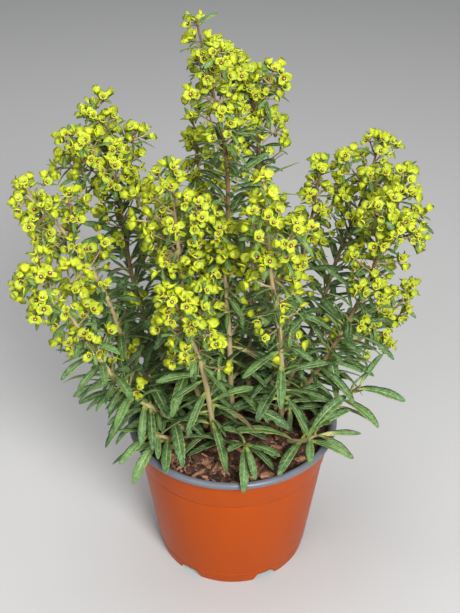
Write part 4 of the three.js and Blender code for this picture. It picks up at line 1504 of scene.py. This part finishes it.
def grow_twigs(branch, stem, room, row):
    """Short sprays along the upper part of a branch."""
    for i in range(TWIGS):
        origin = between(branch.root, branch.fork, 0.45 + 0.48 * i / (TWIGS - 1))
        turn_round = GOLDEN_ANGLE * i + row.draw(-30, 30)
        length = row.draw(7, 12)
        cups = 2 if row.draw(0, 1) < 0.5 else 1
        twist = row.draw(0, 360)

        def build(turn, tilt, shorter):
            start = branch.facing(turn_round + turn, math.radians(52 - tilt))
            return Spray(origin, start, length * shorter, cups, twist, FILL_CUP_RADIUS)

        grow_spray(build, stem, room, (1, 0.7, 1.4))


def side_sprays(stem, room):
    """Single sprays from the upper leaf axils, below the head."""
    row = Row(stem.seed + SIDE_SPRAY_ROW)
    count = SIDE_SPRAYS.get(stem.name, USUAL_SIDE_SPRAYS)
    for i in range(count):
        share = stem.head * (0.62 + 0.36 * i / (count - 1))
        azimuth = row.draw(0, 360)
        length = row.draw(12, 22)
        cups = 1 if row.draw(0, 1) < 0.5 else 2
        twist = row.draw(0, 360)

        def build(turn, tilt, shorter):
            start = stem.leaving(share, azimuth + turn, 40 + tilt)
            return Spray(stem.place(share)[0], start, length * shorter, cups, twist)

        grow_spray(build, stem, room, (1, 0.7, 1.4))


def crown_sprays(stem, room):
    """Short sprays close under the tip of the head."""
    row = Row(stem.seed + CROWN_ROW)
    for i in range(CROWN_SPRAYS):
        share = row.draw(0.9, 0.98)
        azimuth = 360 / CROWN_SPRAYS * i + row.draw(-30, 30)
        rise, length, twist = row.draw(30, 62), row.draw(8, 15), row.draw(0, 360)

        def build(turn, tilt, shorter):
            start = stem.leaving(share, azimuth + turn, min(rise + tilt, 82))
            return Spray(stem.place(share)[0], start, length * shorter, 2, twist, FILL_CUP_RADIUS)

        grow_spray(build, stem, room, (1, 0.75, 1.3))


def fill_sprays(stem, room):
    """Small sprays between the solid ones and a little past them, wherever there is room."""
    row = Row(stem.seed + FILL_SPRAY_ROW)
    count = round(stem.sprays * FILL_SPRAYS)
    for i in range(count):
        up = (i + 0.5) / count
        share = min(stem.head - 0.05 + (1.04 - stem.head) * up, 1)
        azimuth = GOLDEN_ANGLE * i + row.draw(-40, 40)
        rise = SPRAY_RISE + SPRAY_RISE_GAIN * up * up + row.draw(-26, 20)
        reach = stem.reach * (1.18 - SPRAY_LENGTH_LOSS * up * up) * row.draw(0.6, 1.08) - CUP_LENGTH
        length = max(SHORTEST_PEDICEL - 1, reach)
        cups = 1 if row.draw(0, 1) < 0.35 else 2
        twist = row.draw(0, 360)

        def build(turn, tilt, shorter):
            start = stem.leaving(share, azimuth + turn, min(rise + tilt, 86))
            return Spray(stem.place(share)[0], start, length * shorter, cups, twist, FILL_CUP_RADIUS)

        grow_spray(build, stem, room, (1, 0.75, 1.25, 0.5))


def paint_leaf_light_and_shade(stem):
    """Painted light and shade: lighter leaves where their tips stand out of the plant, painted shade on
    those deep in it and high up among the flowers, with a random part. Youth is drawn at random.
    """
    row = Row(stem.seed + TONE_ROW)
    for leaf in stem.leaf_list:
        tip = leaf.section(1, 0)[0]
        out = math.hypot(tip[0], tip[1]) / PAINTED_LIGHT_RADIUS
        height = (leaf.root[2] - SOIL_LEVEL) / PAINTED_SHADE_HEIGHT
        # The tone is painted light out from the middle and painted shade with height, plus chance.
        leaf.tone = min(max(0.62 * out - 0.2 * height + row.draw(-0.25, 0.35), 0), 1)
        leaf.youth = max(0.0, row.draw(-0.6, 0.35))


def small_leaf(root, start, length, width, youth, row):
    return Leaf(root, unit(start), length, row.draw(12, 42), width, youth, row.draw(0.1, 0.6))


def bloom_stalks(spray, row):
    """Where each bloom of a spray stands: its stalk's root, direction, length and the bloom's size."""
    ends = [(spray.fork, facing, row.draw(4.0, 6.6), row.draw(0.84, 1.1)) for facing in spray.facings]
    if len(ends) > 1:
        ends.append((spray.fork, spray.start, row.draw(2.0, 5.0), row.draw(0.7, 0.95)))
    for _ in range(math.floor(row.draw(0.2, 1.0) + min(spray.length, 36) / 14)):
        origin = between(spray.root, spray.fork, row.draw(0.4, 0.9))
        facing = spray.facing(row.draw(0, 360), math.radians(row.draw(42, 80)))
        ends.append((origin, facing, row.draw(4.5, 9.5), row.draw(0.66, 1.0)))
    return ends


def dress_head(stem, room):
    """The stalks, blooms and small leaves of one stem's sprays, and of its tip."""
    row = Row(stem.seed + DRESS_ROW)
    stalks, blooms, small_leaves = [], [], []
    tip, along, _, _ = stem.place(1)
    foot = stem.place(stem.head)[0]
    sparse_below = foot[2] + (tip[2] - foot[2]) * SPARSE_FEET.get(stem.name, -1)
    drop = CROWN_DROP.get(stem.name, USUAL_CROWN_DROP)
    crown = Spray(plus(tip, along, -drop), along, 4, 3, row.draw(0, 360))
    for spray in [crown, *stem.spray_list]:
        middle = plus(between(spray.root, spray.fork, 0.5), (0, 0, -1), spray.length * 0.05)
        tone = row.draw(0.1, 0.9)
        stalks.append(Stalk([spray.root, middle, spray.fork], SPRAY_RADII, [tone] * 3))
        ends = bloom_stalks(spray, row)
        if spray.fork[2] < sparse_below:
            ends = ends[:1]
        for origin, facing, length, size in ends:
            end = plus(origin, facing, length)
            if not room.within(plus(end, facing, 2), BLOOM_REACH * size):
                continue
            stalks.append(Stalk([origin, end], BLOOM_STALK_RADII, [tone] * 2))
            lean = (row.draw(-0.35, 0.35), row.draw(-0.35, 0.35), row.draw(0, 0.45))
            opening = row.draw(0, 1)
            blooms.append(Bloom(end, unit(plus(facing, lean)), size, opening, row.draw(0, 1)))
        for turn in (90, 270):
            facing = spray.facing(turn + row.draw(-30, 30), math.radians(72))
            small_leaves.append(small_leaf(spray.fork, facing, row.draw(7, 12), 0.42, 0.7, row))
        below = plus(spray.start, (0, 0, 1), -0.55)
        small_leaves.append(small_leaf(spray.root, below, row.draw(14, 24), 0.26, row.draw(0.1, 0.5), row))
        if row.draw(0, 1) < 0.5:
            aside = spray.facing(row.draw(0, 360), math.radians(row.draw(40, 80)))
            lower = between(spray.root, spray.fork, row.draw(0.3, 0.8))
            small_leaves.append(small_leaf(lower, aside, row.draw(9, 18), 0.3, row.draw(0.2, 0.7), row))
    small_leaves = [leaf for leaf in small_leaves if room.within(leaf.section(1, 0)[0], 0)]
    return stalks, blooms, small_leaves


# ---------------------------------------------------------------- flowers
LOBE_TURNS = (-115, -62, 0, 62, 115)
LOBE_POINT = 1.25  # how far the point of a bract stands out, against its radius
GLAND_RINGS = ((1.1, 0.3, 1), (1.85, 1.3, 1), (1.0, 1.8, 1.45))  # radius and height in mm, organ
GLAND_SIDES = 5
GLAND_TOP = 2.2
CUP_FOOT = 2.6  # how far the cup reaches below its middle, in millimetres
INNER_RING = (0.6, 0.6, 0.38)  # the ring inside the bracts' edge, against the edge


def bract_outline(settings):
    """The edge of the two bracts, as (x, y, height), once round. Both rise from the crease between."""
    middle = settings.lobe_length - settings.lobe_radius * LOBE_POINT
    outline = []
    for side in (1, -1):
        for turn in LOBE_TURNS:
            radius = settings.lobe_radius * (LOBE_POINT if turn == 0 else 1)
            out = middle + radius * math.cos(math.radians(turn))
            aside = radius * math.sin(math.radians(turn))
            curl = settings.curl * (aside / settings.lobe_radius) ** 2
            rise = out * math.sin(settings.bract_rise) + curl
            outline.append((side * out * math.cos(settings.bract_rise), side * aside, rise))
        outline.append((0, side * settings.waist, settings.curl))
    return outline


def flower_shape(settings):
    """Two bracts joined in a shallow cup, round a ring of glands with a pale middle."""
    bm = bmesh.new()
    organ, rim = [], []

    def corner(x, y, z, what, out):
        organ.append(what)
        rim.append(out)
        return bm.verts.new((x, y, z))

    outline = bract_outline(settings)
    edge = [corner(x, y, z, 0, 1) for x, y, z in outline]
    wide, deep, high = INNER_RING
    inner = [corner(x * wide, y * deep, z * high, 0, 0.5) for x, y, z in outline]
    heart, base = corner(0, 0, 0, 0, 0), corner(0, 0, -CUP_FOOT * MM, 0, 0.6)
    count = len(edge)
    for i in range(count):
        after = (i + 1) % count
        bm.faces.new((edge[i], edge[after], inner[after], inner[i]))
        bm.faces.new((inner[i], inner[after], heart))
        bm.faces.new((edge[after], edge[i], base))
    rings = []
    for radius, height, what in GLAND_RINGS:
        turns = [2 * math.pi * k / GLAND_SIDES for k in range(GLAND_SIDES)]
        rings.append([corner(radius * MM * math.cos(t), radius * MM * math.sin(t), height * MM, what, 0)
                      for t in turns])
    top = corner(0, 0, GLAND_TOP * MM, 2, 0)
    for low, high in zip(rings, rings[1:]):
        for k in range(GLAND_SIDES):
            after = (k + 1) % GLAND_SIDES
            bm.faces.new((low[k], low[after], high[after], high[k]))
    for k in range(GLAND_SIDES):
        bm.faces.new((rings[-1][k], rings[-1][(k + 1) % GLAND_SIDES], top))
    bm.faces.new(reversed(rings[0]))
    bmesh.ops.recalc_face_normals(bm, faces=bm.faces)
    return template("flower", bm, organ=organ, rim=rim)


def flower_tree():
    """Puts a flower at each point, facing the way that the point's values say."""
    nodes = GeometryNodes(
        "Flowers", Flower=("Object", "One flower, facing up"), Material=("Material", "Flower"))
    turn_to = "FunctionNodeAlignRotationToVector"
    facing = {"Vector": nodes.attribute("facing", "FLOAT_VECTOR")}
    upright = nodes.out(turn_to, facing, "Rotation", axis="Z")
    aside = {"Rotation": upright, "Vector": nodes.attribute("aside", "FLOAT_VECTOR")}
    turned_round = nodes.out(turn_to, aside, "Rotation", axis="X", pivot_axis="Z")
    flowers = nodes.realized(nodes.given("Geometry"), nodes.shape_of("Flower"),
                             Rotation=turned_round, Scale=nodes.attribute("scale", "FLOAT_VECTOR"))
    return nodes.finish(flowers)


def flower_piece(name, blooms, tree, flower, material, seed):
    """One mesh of flowers."""
    row = Row(seed)
    asides = [unit((row.draw(-1, 1), row.draw(-1, 1), row.draw(-0.6, 0.6) + 0.01)) for _ in blooms]
    cloud = point_cloud(
        name, in_metres([bloom.place for bloom in blooms]), facing=[bloom.facing for bloom in blooms],
        aside=asides, scale=[bloom.scale for bloom in blooms], tone=[bloom.tone for bloom in blooms])
    return grown(name, cloud, tree, Flower=flower, Material=material)


def grow_finer_plant():
    """The solid plant's stems, leaves and sprays, with the smaller ones between them."""
    stems, room = grow_plant()
    low, high = ([place / MM for place in corner] for corner in CAD_BOX)
    margins = (FILL_MARGIN, FILL_MARGIN, TOP_MARGIN)
    room.bounds = ([place - FILL_MARGIN for place in low],
                   [place + margin for place, margin in zip(high, margins)])
    heads = [stem for stem in stems if stem.flowering]
    for grow in (side_branches, crown_sprays, side_sprays, fill_sprays):
        for stem in heads:
            grow(stem, room)
    for stem in stems:
        if stem.flowering or stem.name in BACK_SHOOTS:
            fill_leaves(stem, room, *OUTER_ROUND)
    for stem in heads:
        fill_leaves(stem, room, *HEAD_ROUND)
    for stem in heads:
        if stem.name in DENSE_STEMS:
            fill_leaves(stem, room, *DENSE_ROUND)
        if stem.name in DENSEST_STEMS:
            fill_leaves(stem, room, *DENSEST_ROUND)
    for stem in stems:
        paint_leaf_light_and_shade(stem)
    return stems, room


class EUPHORBIA_OT_plant(bpy.types.Operator):
    """Grows every stem with its leaves, and the flowers of those that bloom"""

    bl_idname = "euphorbia.plant"
    bl_label = "Grow the plant"

    def execute(self, context):
        foliage, flowers = context.scene.euphorbia_foliage, context.scene.euphorbia_flowers
        stems, room = grow_finer_plant()
        room.bounds = [low - EDGE for low in room.bounds[0]], [high + EDGE for high in room.bounds[1]]
        blade, flower = blade_shape(), flower_shape(flowers)
        stalks_of, leaves_of, flowers_of = stalk_tree(), leaf_tree(), flower_tree()
        bark, green, yellow = stalk_material(foliage), leaf_material(foliage), flower_material(flowers)
        for stem in stems:
            leafy = joined([
                stalk_piece(stem.name + "_stalk", [main_stalk(stem)], stalks_of, bark, STALK_SIDES),
                leaf_piece(
                    stem.name + "_leaves", stem.leaf_list, leaves_of, blade, green, foliage, stem.seed)])
            leafy.name = ("leafy_stem_" if stem.flowering else "young_shoot_") + stem.name
            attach(leafy, "root")
            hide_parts(stem.node)
            if not stem.flowering:
                continue
            stalks, blooms, bracts = dress_head(stem, room)
            head = joined([
                flower_piece(
                    stem.name + "_blooms", blooms, flowers_of, flower, yellow, stem.seed + BLOOM_ROW),
                stalk_piece(stem.name + "_pedicels", stalks, stalks_of, bark, PEDICEL_SIDES),
                leaf_piece(
                    stem.name + "_bracts", bracts, leaves_of, blade, green, foliage,
                    stem.seed + BRACT_ROW)])
            head.name = "flowers_" + stem.name
            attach(head, "root")
            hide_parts("flower_head_" + stem.name)
        for shape in (blade, flower):
            bpy.data.objects.remove(shape)
        return {"FINISHED"}


# ---------------------------------------------------------------- stage
FLOOR_SIZE = 4.0  # half the width of the floor, in metres
# name, place, the point that it shines at, its width and its power
LIGHTS = (
    ("key_light", (0.52, -1.38, 1.4), (0, 0, 0.22), 0.7, 51),
    ("fill_light", (-0.9, -1.4, 1.5), (0, 0, 0.25), 1.4, 13),
    ("top_light", (-0.2, 0.4, 2.2), (0, 0, 0.2), 1.4, 20),
)
SKY_COLOUR = (0.92, 0.96, 1.0, 1.0)
SKY_STRENGTH = 0.26
PICTURE_HEIGHT = 36.0  # in the camera, in millimetres


class EUPHORBIA_OT_stage(bpy.types.Operator):
    """Sets out the floor, the lights and the camera"""

    bl_idname = "euphorbia.stage"
    bl_label = "Set the stage"

    def execute(self, context):
        settings = context.scene.euphorbia_stage
        bm = bmesh.new()
        bmesh.ops.create_grid(bm, x_segments=1, y_segments=1, size=FLOOR_SIZE)
        mesh = bpy.data.meshes.new("floor")
        bm.to_mesh(mesh)
        bm.free()
        material, nodes = new_material("pale_floor")
        surface(nodes, (*settings.floor_colour, 1.0), Roughness=0.9)
        mesh.materials.append(material)
        new_object("floor", mesh)

        for name, place, aim, size, power in LIGHTS:
            light = bpy.data.lights.new(name, "AREA")
            light.shape, light.size, light.energy = "DISK", size, power
            holder = bpy.data.objects.new(name, light)
            holder.location = place
            holder.rotation_euler = (Vector(aim) - Vector(place)).to_track_quat("-Z", "Y").to_euler()
            context.scene.collection.objects.link(holder)

        world = bpy.data.worlds.new("soft_sky")
        world.use_nodes = True
        background = world.node_tree.nodes["Background"]
        background.inputs["Color"].default_value = SKY_COLOUR
        background.inputs["Strength"].default_value = SKY_STRENGTH
        context.scene.world = world

        lens = bpy.data.cameras.new("camera")
        lens.lens, lens.sensor_width = settings.lens, PICTURE_HEIGHT
        camera = bpy.data.objects.new("camera", lens)
        camera.location = settings.camera_place
        camera.rotation_euler = (math.pi / 2 - settings.camera_pitch, 0, settings.camera_yaw)
        context.scene.collection.objects.link(camera)
        context.scene.camera = camera
        context.scene.view_settings.view_transform = "Standard"
        return {"FINISHED"}


# ---------------------------------------------------------------- the add-on
SETTINGS = {
    "euphorbia_pot": PotSettings,
    "euphorbia_compost": CompostSettings,
    "euphorbia_foliage": FoliageSettings,
    "euphorbia_flowers": FlowerSettings,
    "euphorbia_stage": StageSettings,
}
OPERATORS = (EUPHORBIA_OT_pot, EUPHORBIA_OT_compost, EUPHORBIA_OT_plant, EUPHORBIA_OT_stage)


class EUPHORBIA_PT_panel(bpy.types.Panel):
    """Lists the pieces of the potted euphorbia"""

    bl_idname = "EUPHORBIA_PT_panel"
    bl_label = "Potted euphorbia"
    bl_space_type = "VIEW_3D"
    bl_region_type = "UI"
    bl_category = "Euphorbia"

    def draw(self, context):
        for operator in OPERATORS:
            self.layout.operator(operator.bl_idname)
        for name, settings in SETTINGS.items():
            box = self.layout.box()
            for prop in settings.bl_rna.properties:
                if prop.identifier in settings.__annotations__:
                    box.prop(getattr(context.scene, name), prop.identifier)


def register():
    for name, settings in SETTINGS.items():
        bpy.utils.register_class(settings)
        setattr(bpy.types.Scene, name, bpy.props.PointerProperty(type=settings))
    for operator in (*OPERATORS, EUPHORBIA_PT_panel):
        bpy.utils.register_class(operator)


def unregister():
    for operator in (EUPHORBIA_PT_panel, *reversed(OPERATORS)):
        bpy.utils.unregister_class(operator)
    for name, settings in SETTINGS.items():
        delattr(bpy.types.Scene, name)
        bpy.utils.unregister_class(settings)


def main():
    register()
    bpy.ops.euphorbia.stage()
    bpy.ops.euphorbia.pot()
    bpy.ops.euphorbia.compost()
    bpy.ops.euphorbia.plant()


if __name__ == "__main__":
    main()
